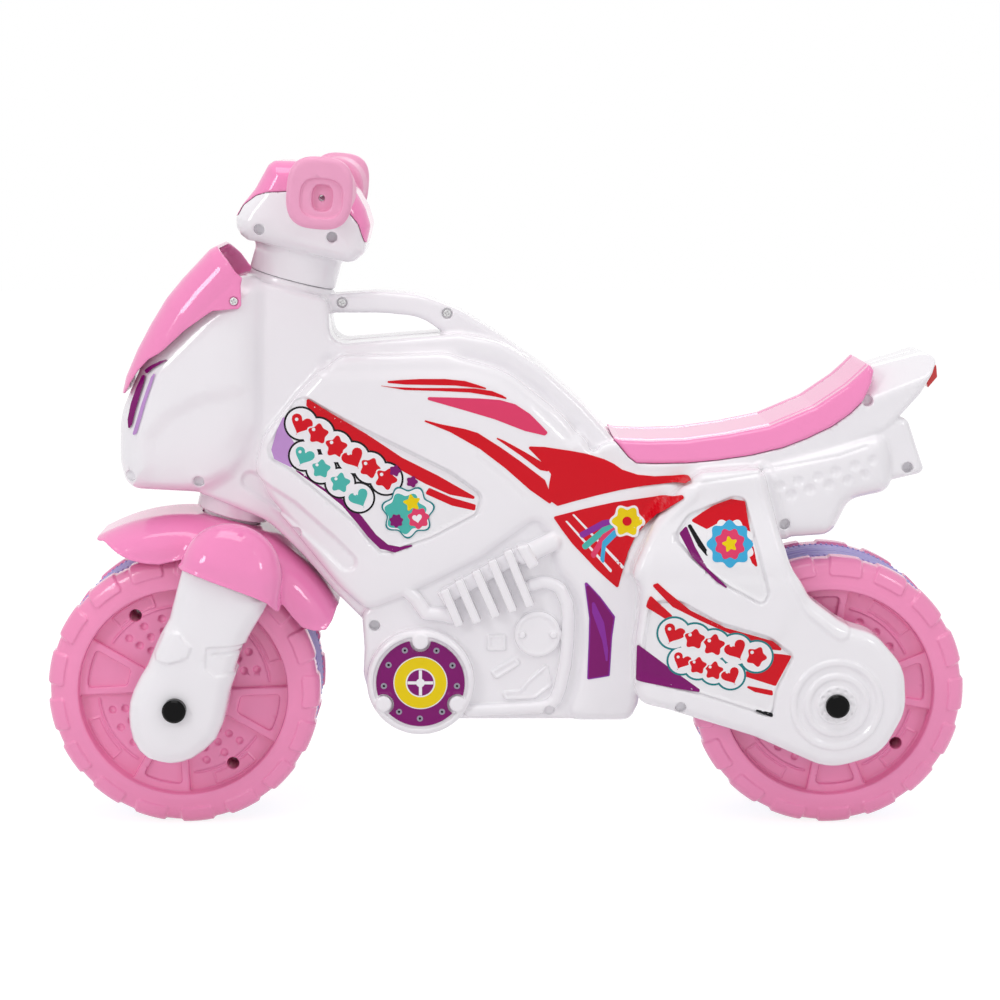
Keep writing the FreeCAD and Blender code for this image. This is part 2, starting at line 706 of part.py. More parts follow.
def frame_screw_places():
    """Where the screws that join the half shells stand, and how far out their seats lie."""
    places = [(spot(shares), screw_seat) for shares in frame_screw_shares]
    places.append((round_pattern(well_radius + arm_screw_gap, arm_screw_angle, rear_axle_place), screw_seat))
    root = Part.Vertex(head_radius + handle_screw_gap, 0, head_top - handle_screw_drop)
    return places + [(place, handle_screw_seat) for place in (steered(root).Point, spot(handle_screw_share))]


def frame_cavity():
    """The room inside the left half shell, less what stands in it."""
    room = fused([pod_inside(points, half_width, edge) for points, half_width, edge, rim in frame_pods()])
    keeps = [rod(well_radius + wall, -well_half_width - wall, 0, rear_axle_place)]
    keeps.append(rod(axle_radius + running_gap + wall, -swingarm_half_width, -well_half_width, rear_axle_place))
    keeps.append(rod(fender_room_radius + wall, -swingarm_half_width, 0, front_axle))
    keeps.append(steered(post(collar_radius, collar_bottom, head_top)))
    keeps += [rod(boss_radius, -swingarm_half_width, 0, place) for place, seat in frame_screw_places()]
    return room.cut(keeps)


def frame_outside():
    """The left half of the frame as a closed body."""
    parts = [rim(points, half_width, edge) for points, half_width, edge, rim in frame_pods()]
    head = fused([steered(post(collar_radius, collar_bottom, collar_bottom + collar_height)),
                  steered(post(head_radius, collar_bottom + collar_height, head_top))])
    parts += engine_relief()
    parts += axle_boss()
    body = fused(parts).cut(rod(fender_room_radius, -leg_outer, leg_outer, front_axle))
    body = fused([body, head])
    size = 2 * wheelbase
    left = Part.makeBox(size, size, size, FreeCAD.Vector(-wheelbase, -size, -wheelbase / 2))
    return body.common(left)


def frame_cuts():
    """What is cut out of both half shells."""
    return [
        rod(well_radius, -well_half_width, well_half_width, rear_axle_place),
        rod(axle_radius + screw_fit, -leg_outer, leg_outer, rear_axle_place),
        steered(post(head_bore, 0, head_top + collar_height)),
        recess(recess_front_shares, tank_half_width),
        recess(recess_strut_shares, strut_half_width),
        recess(recess_arm_shares, swingarm_half_width),
        rod(screw_radius + screw_fit, -leg_outer, 0, spot(visor_screw_share)),
        slab(inset(placed(light_shares), -screw_fit), -light_half_width - screw_fit,
             light_half_width + screw_fit)] + dimple_balls()


def dimple_balls():
    """The balls that press two rows of dimples into the silencer's side."""
    radius = (dimple_radius ** 2 + dimple_depth ** 2) / (2 * dimple_depth)
    rise = math.radians(dimple_row_rise)
    step = FreeCAD.Vector(dimple_pitch * math.cos(rise), 0, dimple_pitch * math.sin(rise))
    out = FreeCAD.Vector(0, dimple_depth - radius - muffler_half_width, 0)
    return [Part.makeSphere(radius, spot(start) + step * index + out)
            for start, count in zip(dimple_start_shares, dimple_counts) for index in range(count)]


def recess(rows, half_width):
    """A shallow panel for a label, let into a pod's side."""
    return slab(placed(rows), -half_width - overrun, recess_depth - half_width)


def frame():
    """The two half shells of the frame and the screws that join them."""
    body = frame_outside().cut(frame_cavity()).cut(frame_cuts())
    reach = swingarm_half_width + overrun
    places = frame_screw_places()
    left = body.cut([screw_bore(place, seat, reach) for place, seat in places])
    right = mirrored(body).cut([screw_bore(place, seat, seat + overrun) for place, seat in places])
    screws = [screw(place, seat) for place, seat in places]
    return {"frame_left": left, "frame_right": right, "frame_screws": group(screws)}


# Seat, visor and tail light

def seat():
    """The moulded saddle that caps the frame's rail."""
    outline = placed(seat_shares)
    half = pod(outline, seat_half_width, seat_edge)
    body = fused([half, mirrored(half)])
    rests = [(tail_shares, tail_half_width), (tank_shares, tank_half_width), (spine_shares, spine_half_width)]
    return body.cut([slab(inset(placed(rows), -seam_gap), -width - seam_gap, width + seam_gap)
                     for rows, width in rests])


def visor_block(shift, half_width, edge):
    """A block whose front is one wide arc with a rounded rim, drawn back by a shift."""
    top, middle, low = [spot(shares) + FreeCAD.Vector(shift, 0, -shift / 2) for shares in visor_front_shares]
    back = -wheelbase * visor_back_share
    corners = [low, FreeCAD.Vector(back, 0, low.z), FreeCAD.Vector(back, 0, top.z), top]
    wire = Part.Wire([Part.Arc(top, middle, low).toShape()] + Part.makePolygon(corners).Edges)
    block = Part.Face(wire).extrude(along_y * -half_width)
    rims = [rim for rim in rim_edges(block, -half_width) if rim.Curve.TypeId == "Part::GeomCircle"]
    return block.makeFillet(edge, rims)


def visor():
    """The wrap-round windshield, open at the back and below."""
    rest_width = cowl_half_width + seam_gap
    half = visor_block(0, rest_width + visor_thickness, visor_edge)
    room = visor_block(visor_thickness, rest_width, visor_edge - visor_thickness)
    rest = pod(inset(placed(cowl_shares), -seam_gap), rest_width, cowl_edge)
    half = half.cut([room, rest]).common(slab(placed(visor_shares), 0, -2 * rest_width))
    left = max(half.Solids, key=lambda solid: solid.Volume)
    left = left.cut(rod(screw_radius + screw_fit, -leg_outer, 0, spot(visor_screw_share)))
    return fused([left, mirrored(left)])


def tail_light():
    """The red lens let into the tail's tip."""
    return slab(placed(light_shares), -light_half_width, light_half_width)


# Steering head

def fork_leg_outline():
    """A fork leg seen from the side."""
    return scaled(fork_shares, leg_width, crown_top, 0)


def fork_half():
    """One leg, half the crown and half the stem, open towards the wheel."""
    outline = fork_leg_outline()
    leg = slab(outline, -leg_inner, -leg_outer)
    leg = leg.makeFillet(leg_edge, rim_edges(leg, -leg_outer))
    hollow = slab(inset(outline, leg_wall), -leg_inner + overrun, leg_wall - leg_outer)
    hollow = hollow.makeChamfer(leg_edge / 2, rim_edges(hollow, leg_wall - leg_outer))
    hollow = hollow.cut(rod(leg_boss_radius, -leg_outer, 0))
    floor = Part.makeBox(leg_width * 2, leg_outer, crown_thickness + overrun,
                         FreeCAD.Vector(-leg_width, -leg_outer, crown_bottom - overrun))
    leg = leg.cut(hollow.cut(floor))
    crown = Part.makeBox(2 * crown_half_length, leg_inner + leg_wall, crown_thickness,
                         FreeCAD.Vector(-crown_half_length, -leg_inner - leg_wall, crown_bottom))
    side = Part.makeBox(leg_width, leg_outer, stem_top, FreeCAD.Vector(-leg_width / 2, -leg_outer, 0))
    stem = post(stem_radius, crown_bottom, stem_top).common(side)
    half = fused([leg, crown, stem])
    bore = post(stem_radius - stem_wall, crown_bottom - overrun, stem_top - stem_floor)
    half = half.cut(bore).cut(post(stem_bolt_radius + screw_fit, crown_bottom, stem_top + overrun))
    return half.cut(rod(axle_radius + screw_fit, -leg_outer - overrun, 0))


def fender_section():
    """The fender's section: half of it, radius against distance from the centre plane."""
    side = fender_outer - fender_drop
    slant = fender_half_width - fender_flat_half_width
    return [
        (fender_outer, 0), (fender_outer, fender_flat_half_width),
        (fender_outer - slant / 4, fender_flat_half_width + slant * 2 / 3),
        (side, fender_half_width), (side, fender_half_width - fender_thickness),
        (fender_inner - slant / 4, fender_flat_half_width + slant * 2 / 3 - fender_thickness / 2),
        (fender_inner, fender_flat_half_width - fender_thickness / 2), (fender_inner, 0)]


def crown_room():
    """The room that the crown needs under the fender."""
    return Part.makeBox(2 * (crown_half_length + bulge_gap), 2 * leg_outer, crown_top + bulge_gap,
                        FreeCAD.Vector(-crown_half_length - bulge_gap, -leg_outer, 0))


def bulge_half():
    """The left bulge over the fork's shoulder, with the room inside it."""
    outline = scaled(bulge_shares, leg_width, fender_outer, 0)
    reach = leg_outer + bulge_gap + fender_thickness
    bulge = slab(outline, -fender_flat_half_width, -reach)
    bulge = bulge.makeFillet(leg_edge, rim_edges(bulge, -reach))
    lowered = [(x, z - fender_thickness, radius) for x, z, radius in inset(outline, fender_thickness)]
    lowered[0] = (lowered[0][0], 0, lowered[0][2])
    lowered[-1] = (lowered[-1][0], 0, lowered[-1][2])
    room = slab(lowered, -fender_flat_half_width - fender_thickness, -leg_outer - bulge_gap)
    room = room.makeFillet(leg_edge - fender_thickness, rim_edges(room, -leg_outer - bulge_gap))
    return bulge, room


def fender():
    """The mudguard over the front wheel, with a bulge over each fork shoulder."""
    half = spun(fender_section(), fender_front_angle - fender_rear_angle)
    half.rotate(origin, along_y, -fender_front_angle - rake_angle)
    bulge, room = bulge_half()
    leg = slab(inset(fork_leg_outline(), -bulge_gap), -leg_inner + bulge_gap, -leg_outer - bulge_gap)
    leg = leg.makeFillet(leg_edge, rim_edges(leg, -leg_outer - bulge_gap))
    half = fused([half, bulge]).cut(room).cut(leg).cut(rod(crown_bottom, -leg_inner, overrun))
    shell = fused([half, mirrored(half)]).cut(crown_room())
    return shell.cut(post(stem_radius + bulge_gap, 0, head_top))


# Handlebar

def bar_outline():
    """The handlebar's body seen from the side."""
    return scaled(bar_body_shares, bar_body_length, bar_body_height, neck_top)


def cover_region(gap):
    """The part of the body that the cover takes, drawn in by a gap."""
    rows = scaled(cover_arch_shares, bar_body_length, bar_body_height, neck_top)
    top = neck_top + 2 * bar_body_height
    rows = rows + [(rows[-1][0], top, gap + overrun), (rows[0][0], top, gap + overrun)]
    return slab(inset(rows, gap), -bar_body_half_width - overrun, bar_body_half_width + overrun)


def bar_shell():
    """The handlebar's hollow body, both sides."""
    outline = bar_outline()
    half = pod(outline, bar_body_half_width, bar_body_edge)
    room = pod_inside(outline, bar_body_half_width, bar_body_edge)
    half = half.cut(room)
    return fused([half, mirrored(half)])


def bar_place():
    """The centre line of the grips, in the steering head's frame."""
    return FreeCAD.Vector(bar_offset, 0, neck_top + bar_height)


def handlebar():
    """The white halves with neck and bar, and the pink cover."""
    shell = bar_shell()
    bar = rod(bar_radius, -bar_reach, bar_reach, bar_place())
    cover = shell.common(cover_region(0)).cut(rod(bar_radius + running_gap, -bar_reach, bar_reach, bar_place()))
    floor_top = stem_top + running_gap + stem_floor
    neck = post(neck_radius, neck_bottom, neck_top + bar_wall)
    socket = post(stem_radius + bar_wall + running_gap, neck_top, floor_top)
    rib = Part.makeBox(2 * bar_wall, 2 * bar_body_half_width / 3, bar_height + bar_wall,
                       FreeCAD.Vector(bar_offset - bar_wall, -bar_body_half_width / 3, neck_top))
    body = fused([shell.cut(cover_region(-seam_gap)), neck, socket, rib, bar])
    body = body.cut(post(head_bore, neck_bottom - overrun, stem_top + running_gap))
    body = body.cut(post(stem_head_radius + running_gap, floor_top, floor_top + stem_head_height + overrun))
    body = body.cut(post(stem_bolt_radius + screw_fit, neck_bottom, floor_top + overrun))
    body = body.cut(rod(screw_radius + screw_fit, -bar_reach, -bar_reach + 2 * screw_grip + overrun, bar_place()))
    size = bar_reach + overrun
    keep = Part.makeBox(4 * size, size, 4 * size, FreeCAD.Vector(-2 * size, -size, 0))
    left = body.common(keep)
    right = mirrored(left)
    screws = []
    for across, up in bar_screw_shares:
        place = FreeCAD.Vector(bar_body_length * across, 0, neck_top + bar_body_height * up)
        room = pod_inside(bar_outline(), bar_body_half_width, bar_body_edge)
        post_left = rod(boss_radius, -bar_body_half_width + bar_wall, 0, place).common(room)
        left = fused([left, post_left]).cut(screw_bore(place, screw_seat, bar_body_half_width + overrun))
        right = fused([right, mirrored(post_left)]).cut(screw_bore(place, screw_seat, screw_seat + overrun))
        screws.append(screw(place, screw_seat))
    return {"handlebar_left": left, "handlebar_right": right, "handlebar_cover": cover,
            "handlebar_screws": group(screws)}


def grip():
    """The left grip: a sleeve with a squared flange and a sunk end."""
    place = bar_place()
    sleeve = rod(grip_radius, -grip_end, -grip_start, place)
    flange = slab(square_outline(grip_flange_radius, place), -grip_end + grip_flange_length, -grip_end)
    flange = flange.makeFillet(grip_flange_length / 4, rim_edges(flange, -grip_end))
    socket = slab(square_outline(grip_socket_half_width, place), -grip_end - overrun, grip_socket - grip_end)
    body = fused([sleeve, flange]).cut(socket)
    bore = rod(bar_radius + running_gap, -bar_reach - running_gap, 0, place)
    return body.cut(bore).cut(rod(screw_radius + screw_fit, -grip_end, -bar_reach, place))


def square_outline(half, place):
    """A square with well rounded corners about a place."""
    corner = half * grip_corner_share
    return [(place.x - half, place.z - half, corner), (place.x + half, place.z - half, corner),
            (place.x + half, place.z + half, corner), (place.x - half, place.z + half, corner)]


def grips():
    """Both grips and the screws in their ends."""
    left = grip()
    seat = grip_end - grip_socket
    shaft = rod(screw_radius, -seat, -bar_reach + 2 * screw_grip, bar_place())
    head = rod(screw_head_radius, -seat - screw_head_height, -seat, bar_place())
    near = fused([shaft, head])
    return {"grip_left": left, "grip_right": mirrored(left),
            "grip_screws": group([near, mirrored(near)])}


def stem_fastener():
    """The bolt, its washer and the nut that draw the handlebar down on the stem."""
    seat = stem_top + running_gap + stem_floor
    nut_top = stem_top - stem_floor
    bolt = fused([post(stem_bolt_radius, nut_top - 2 * stem_nut_height, seat),
                  post(stem_head_radius, seat, seat + stem_head_height)])
    nut = post(stem_nut_radius, nut_top - stem_nut_height, nut_top)
    nut = nut.cut(post(stem_bolt_radius + screw_fit, nut_top - 2 * stem_nut_height, nut_top + overrun))
    return {"stem_bolt": bolt, "stem_nut": nut}


def fork():
    """Both fork halves and the screws across the crown."""
    left = fork_half()
    right = mirrored(left)
    screws = []
    for side in (-1, 1):
        place = FreeCAD.Vector(side * (crown_half_length - screw_well_radius), 0, crown_bottom + crown_thickness / 2)
        left = left.cut(screw_bore(place, screw_seat, leg_outer + overrun))
        right = right.cut(screw_bore(place, screw_seat, screw_seat + overrun))
        screws.append(screw(place, screw_seat))
    return {"fork_left": left, "fork_right": right, "fork_screws": group(screws)}


def steering():
    """All that turns with the handlebar, put on the bike."""
    pieces = fork()
    pieces["front_fender"] = fender()
    pieces.update(handlebar())
    pieces.update(grips())
    pieces.update(stem_fastener())
    return {name: steered(shape) for name, shape in pieces.items()}


def visor_screws():
    """One screw through each side of the visor into the cowl."""
    face = cowl_half_width + seam_gap + visor_thickness
    shaft = rod(screw_radius, -face, -face + screw_grip, spot(visor_screw_share))
    head = rod(screw_head_radius, -face - screw_head_height, -face, spot(visor_screw_share))
    left = fused([shaft, head])
    return group([left, mirrored(left)])


def build():
    """Every node of the bike by name."""
    pieces = frame()
    pieces["seat"] = seat()
    pieces["visor"] = visor()
    pieces["visor_screws"] = visor_screws()
    pieces["tail_light"] = tail_light()
    pieces.update(axle_set("rear", swingarm_half_width + axle_reach, rear_axle_place, swingarm_half_width))
    pieces.update(axle_set("front", leg_outer + axle_reach, front_axle, leg_outer))
    pieces.update(steering())
    pieces.update(wheel("front_wheel", front_wheel_angle, front_axle))
    pieces.update(wheel("rear_wheel", rear_wheel_angle, rear_axle_place))
    return pieces


os.makedirs("parts", exist_ok=True)
for node_name, node_shape in build().items():
    node_shape.exportStep(os.path.join("parts", node_name + ".step"))
    print(node_name, len(node_shape.Solids), "solids,", round(node_shape.Volume), "mm3")
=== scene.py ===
"""Dresses a child's ride-on motorcycle: white moulded shells, pink trim, wide wheels and labels.

Each moulding is a distance field in millimetres. It is meshed and put in the shared frame in metres.
"""
import json
import logging
import math
from dataclasses import dataclass, field
from enum import Enum
from typing import Callable, Sequence

import bpy
import numpy as np
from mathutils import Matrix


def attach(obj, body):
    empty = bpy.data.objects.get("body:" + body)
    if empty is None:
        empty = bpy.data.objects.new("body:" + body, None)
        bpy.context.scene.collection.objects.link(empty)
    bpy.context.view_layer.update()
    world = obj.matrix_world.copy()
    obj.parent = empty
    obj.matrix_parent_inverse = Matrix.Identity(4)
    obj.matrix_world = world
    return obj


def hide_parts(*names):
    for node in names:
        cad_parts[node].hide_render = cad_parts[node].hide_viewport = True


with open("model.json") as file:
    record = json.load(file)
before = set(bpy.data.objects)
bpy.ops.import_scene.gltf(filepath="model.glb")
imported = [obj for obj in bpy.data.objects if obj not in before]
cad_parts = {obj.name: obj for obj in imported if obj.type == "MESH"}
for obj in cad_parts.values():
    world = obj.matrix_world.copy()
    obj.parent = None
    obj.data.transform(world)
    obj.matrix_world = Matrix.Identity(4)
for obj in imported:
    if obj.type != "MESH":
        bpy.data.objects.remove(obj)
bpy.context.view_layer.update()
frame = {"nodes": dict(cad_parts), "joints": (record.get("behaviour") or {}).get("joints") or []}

import openvdb
from mathutils.geometry import delaunay_2d_cdt

log = logging.getLogger("ride_on")
METRE = 1000.0  # in millimetres
FAR = 40.0  # the furthest that a field counts, in millimetres
SHARE, CORNER = 1000, 10  # parts of a share, and of the corner unit
LEFT, RIGHT = -1, 1
WHOLE = (slice(None),) * 3

Rows = list[tuple[float, float, float]]
Points = list[tuple[float, float]]
Spot = Sequence[float]
Array = np.ndarray


def linked(name: str, data: bpy.types.ID) -> bpy.types.Object:
    """Makes an object of some data and puts it in the scene.

    Args:
        name: The object's name.
        data: Its mesh, lamp or camera.

    Returns:
        The object.
    """
    made = bpy.data.objects.new(name, data)
    bpy.context.scene.collection.objects.link(made)
    return made


def settle(node: bpy.types.Node, values: dict[str, object]) -> bpy.types.Node:
    """Sets a node's inputs by their names, and gives the node back.

    Args:
        node: The node.
        values: The inputs' names and values.

    Returns:
        The node.
    """
    for name, value in values.items():
        node.inputs[name].default_value = value
    return node


def wire(tree: bpy.types.NodeTree, *pairs: tuple[bpy.types.NodeSocket, bpy.types.NodeSocket]) -> None:
    """Links sockets of a node tree, each pair from output to input."""
    for output, socket in pairs:
        tree.links.new(output, socket)


# Stance and camera

@dataclass(frozen=True)
class Stance:
    """Where the wheels and the steering head stand, in millimetres."""

    wheelbase: float
    axle_height: float
    rake: float
    body_height: float = 203.4
    corner: float = 20.0

    @classmethod
    def of_joints(cls, joints: list[dict]) -> "Stance":
        """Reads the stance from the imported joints.

        Args:
            joints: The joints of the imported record.

        Returns:
            The stance.
        """
        known = {joint["name"]: joint for joint in joints}
        front = known["front_wheel_spin"]["pos_m"]
        rear = known["rear_wheel_spin"]["pos_m"]
        axis = known["steering_turn"]["axis"]
        return cls((rear[0] - front[0]) * METRE, front[2] * METRE, math.atan2(axis[0], axis[2]))

    @property
    def rise(self) -> float:
        """Height of the carry handle's top above the axles."""
        return self.axle_height + self.body_height

    def placed(self, shares: Rows) -> Array:
        """The rounded outline of a part of the frame.

        Args:
            shares: Thousandths of the wheelbase and of the rise, and tenths of the corner unit.

        Returns:
            The outline's points.
        """
        return rounded([(*self.spot((a, b)), self.corner * (c / CORNER)) for a, b, c in shares])

    def spot(self, share: Spot) -> Spot:
        """A place on the frame from its two shares, in thousandths."""
        return self.wheelbase * (share[0] / SHARE), self.axle_height + self.rise * (share[1] / SHARE)

    def head_place(self, x: Array, z: Array) -> tuple[Array, Array]:
        """Distance behind the steering axis and along it, of points seen from the side.

        Args:
            x: Places along the bike.
            z: Heights.

        Returns:
            How far behind the axis and how far up it they lie.
        """
        dx, dz = x + self.wheelbase / 2, z - self.axle_height
        cos, sin = math.cos(self.rake), math.sin(self.rake)
        return dx * cos - dz * sin, dx * sin + dz * cos

    def from_head(self, points: Array) -> Array:
        """Points of the steering head's own frame, put on the bike.

        Args:
            points: Behind the axis, across, and up the axis.

        Returns:
            The points in the bike's frame.
        """
        cos, sin = math.cos(self.rake), math.sin(self.rake)
        e, y, s = points[:, 0], points[:, 1], points[:, 2]
        return np.stack([e * cos + s * sin - self.wheelbase / 2, y, s * cos - e * sin + self.axle_height], 1)


@dataclass(frozen=True)
class Lens:
    """The photograph's camera. Pixels are those of the square frame of 1000."""

    focal_pixels: float = 2296.0
    tilt: float = math.radians(9.155)
    centre_pixel: tuple[float, float] = (461.0, 500.0)
    place: tuple[float, float, float] = (-35.0, -1789.1, 539.4)
    frame_pixels: float = 1000.0
    sensor: float = 36.0

    def on_plane(self, pixels: Points, y: float) -> Array:
        """Where the sight lines of some pixels meet a plane across the bike.

        Args:
            pixels: Pixels of the photograph.
            y: The plane's place.

        Returns:
            The points' X and Z.
        """
        u, v = np.array(pixels, float).T
        a = (u - self.centre_pixel[0]) / self.focal_pixels
        b = (v - self.centre_pixel[1]) / self.focal_pixels
        cos, sin = math.cos(self.tilt), math.sin(self.tilt)
        reach = (y - self.place[1]) / (cos - b * sin)
        return np.stack([self.place[0] + reach * a, self.place[2] - reach * (sin + b * cos)], 1)

    def at_depths(self, pixels: Rows) -> Array:
        """Where sight lines meet planes across the bike, each its own.

        Args:
            pixels: Pixels with a plane's place each.

        Returns:
            The points' X and Z.
        """
        return np.concatenate([self.on_plane([row[:2]], row[2]) for row in pixels])

    def outline(self, pixels: Rows, y: float) -> Array:
        """A rounded outline drawn in pixels, with its corner radii in millimetres.

        Args:
            pixels: Pixels with a corner radius each.
            y: The plane on which the outline lies.

        Returns:
            The outline's points.
        """
        places = self.on_plane([row[:2] for row in pixels], y)
        return rounded([(x, z, row[2]) for (x, z), row in zip(places, pixels)])

    def build(self) -> bpy.types.Object:
        """Makes the camera.

        Returns:
            The camera's object.
        """
        data = bpy.data.cameras.new("camera")
        data.sensor_width = self.sensor
        data.lens = self.sensor * self.focal_pixels / self.frame_pixels
        data.shift_x = (self.frame_pixels / 2 - self.centre_pixel[0]) / self.frame_pixels
        data.clip_end = 100.0
        camera = linked("camera", data)
        camera.location = [c / METRE for c in self.place]
        camera.rotation_euler = (math.pi / 2 - self.tilt, 0.0, 0.0)
        bpy.context.scene.camera = camera
        return camera


# Outlines seen from the side

def rounded(rows: Rows, steps: int = 5) -> Array:
    """The points of an outline whose corners are arcs.

    Args:
        rows: X, Z and corner radius of each corner.
        steps: Runs in each arc.

    Returns:
        The points, one row each.
    """
    corners = np.array([row[:2] for row in rows], float)
    points = []
    for index, row in enumerate(rows):
        corner = corners[index]
        back = corners[index - 1] - corner
        ahead = corners[(index + 1) % len(rows)] - corner
        room = 0.47 * min(np.linalg.norm(back), np.linalg.norm(ahead))
        back, ahead = back / np.linalg.norm(back), ahead / np.linalg.norm(ahead)
        half = math.acos(float(np.clip(back @ ahead, -1, 1))) / 2
        reach = min(row[2] / math.tan(half), room)
        if reach < 0.01 or half > 1.56:
            points.append(corner)
            continue
        radius = reach * math.tan(half)
        middle = (back + ahead) / np.linalg.norm(back + ahead)
        centre = corner + middle * radius / math.sin(half)
        start, end = corner + back * reach - centre, corner + ahead * reach - centre
        first = math.atan2(start[1], start[0])
        sweep = (math.atan2(end[1], end[0]) - first + math.pi) % (2 * math.pi) - math.pi
        for step in range(steps + 1):
            angle = first + sweep * step / steps
            points.append(centre + radius * np.array([math.cos(angle), math.sin(angle)]))
    return np.array(points)


def edge_distance(points: Array, x: Array, z: Array, closed: bool) -> Array:
    """Distance of places from a line of points.

    Args:
        points: The line's points.
        x: The places along the bike.
        z: Their heights, of a form that goes with x.
        closed: Whether the line is a loop, whose inside then counts as negative.

    Returns:
        The distances, one for each place.
    """
    best = np.full(np.broadcast_shapes(x.shape, z.shape), 1e9, np.float32)
    inside = np.zeros(best.shape, bool)
    ends = np.roll(points, -1, axis=0)
    count = len(points) if closed else len(points) - 1
    for (ax, az), (bx, bz) in zip(points[:count], ends[:count]):
        ex, ez = bx - ax, bz - az
        length = ex * ex + ez * ez
        if length < 1e-9:
            continue
        wx, wz = x - np.float32(ax), z - np.float32(az)
        along = np.clip((wx * np.float32(ex) + wz * np.float32(ez)) / np.float32(length), 0, 1)
        best = np.minimum(best, (wx - ex * along) ** 2 + (wz - ez * along) ** 2)
        if closed and ez:
            inside ^= ((z > az) != (z > bz)) & (x < ax + ex * (z - az) / ez)
    return (np.where(inside, -1, 1) * np.sqrt(best)).astype(np.float32)


class Shape:
    """A region seen from the side: a loop, a thick line or a disc."""

    def __init__(self, points: Array, radius: float = 0.0, closed: bool = True) -> None:
        """Keeps a loop, or a line or a place with a radius.

        Args:
            points: The loop's or line's points.
            radius: How far the region reaches beyond them.
            closed: Whether the points make a loop.
        """
        self.points = np.array(points, float)
        self.radius = radius
        self.closed = closed

    @classmethod
    def disc(cls, place: Spot, radius: float) -> "Shape":
        """A disc about a place."""
        return cls(np.array([place, (place[0] + 1e-3, place[1])]), radius, False)

    @classmethod
    def line(cls, points: Array, radius: float) -> "Shape":
        """A line with round ends, of a half width."""
        return cls(points, radius, False)

    def span(self) -> tuple[float, float, float, float]:
        """Lowest and highest X, then lowest and highest Z."""
        (x0, z0), (x1, z1) = self.points.min(0) - self.radius, self.points.max(0) + self.radius
        return x0, x1, z0, z1

    def distance(self, x: Array, z: Array) -> Array:
        """Signed distance of a grid of places."""
        return edge_distance(self.points, x[:, None], z[None, :], self.closed) - np.float32(self.radius)


# Fields

def soft_min(a: Array, b: Array, blend: float) -> Array:
    """The lower of two fields, with a rounded valley where they meet.

    Args:
        a: A field.
        b: Another field.
        blend: Width of the rounding.

    Returns:
        The joined field.
    """
    if blend <= 0:
        return np.minimum(a, b)
    near = np.maximum(blend - np.abs(a - b), 0) / blend
    return np.minimum(a, b) - near * near * (blend / 4)


def rim(a: Array, b: Array, edge: float) -> Array:
    """Distance from the rounded edge where two half spaces meet.

    Args:
        a: Distance from the first.
        b: Distance from the second.
        edge: The edge's radius.

    Returns:
        The joint distance.
    """
    a, b = a + edge, b + edge
    return np.sqrt(np.maximum(a, 0) ** 2 + np.maximum(b, 0) ** 2) + np.minimum(np.maximum(a, b), 0) - edge


def smooth_step(values: Array) -> Array:
    """Nought below nought, one above one and smooth between."""
    t = np.clip(values, 0, 1)
    return t * t * (3 - 2 * t)


@dataclass
class Skin:
    """A closed mesh with a normal at each point, in millimetres."""

    points: Array
    normals: Array
    triangles: Array
    quads: Array

    def mirrored(self) -> "Skin":
        """The same skin on the bike's other side."""
        flip = np.array([1.0, -1.0, 1.0])
        return Skin(self.points * flip, self.normals * flip, self.triangles[:, ::-1], self.quads[:, ::-1])

    def shifted(self, x: float, y: float, z: float) -> "Skin":
        """The same skin moved."""
        return Skin(self.points + np.array([x, y, z]), self.normals, self.triangles, self.quads)

    def turned(self, angle: float) -> "Skin":
        """The same skin turned about the Y axis, from X towards Z.

        Args:
            angle: The turn in radians.

        Returns:
            The turned skin.
        """
        cos, sin = math.cos(angle), math.sin(angle)
        turn = np.array([[cos, 0, sin], [0, 1, 0], [-sin, 0, cos]])
        return Skin(self.points @ turn, self.normals @ turn, self.triangles, self.quads)

    def on_head(self, stance: Stance) -> "Skin":
        """The same skin, made in the steering head's frame, put on the bike.

        Args:
            stance: The bike's stance.

        Returns:
            The skin in its place.
        """
        base = stance.from_head(np.zeros((1, 3)))
        return Skin(stance.from_head(self.points), stance.from_head(self.normals) - base,
                    self.triangles, self.quads)

    def to_object(self, name: str) -> bpy.types.Object:
        """Makes the Blender object, in metres.

        Args:
            name: The piece's name.

        Returns:
            The object, smooth shaded by its own normals.
        """
        faces = self.triangles.tolist() + self.quads.tolist()
        mesh = bpy.data.meshes.new(name)
        mesh.from_pydata(self.points / METRE, [], faces)
        mesh.polygons.foreach_set("use_smooth", np.ones(len(mesh.polygons), bool))
        mesh.normals_split_custom_set_from_vertices(self.normals)
        return linked(name, mesh)


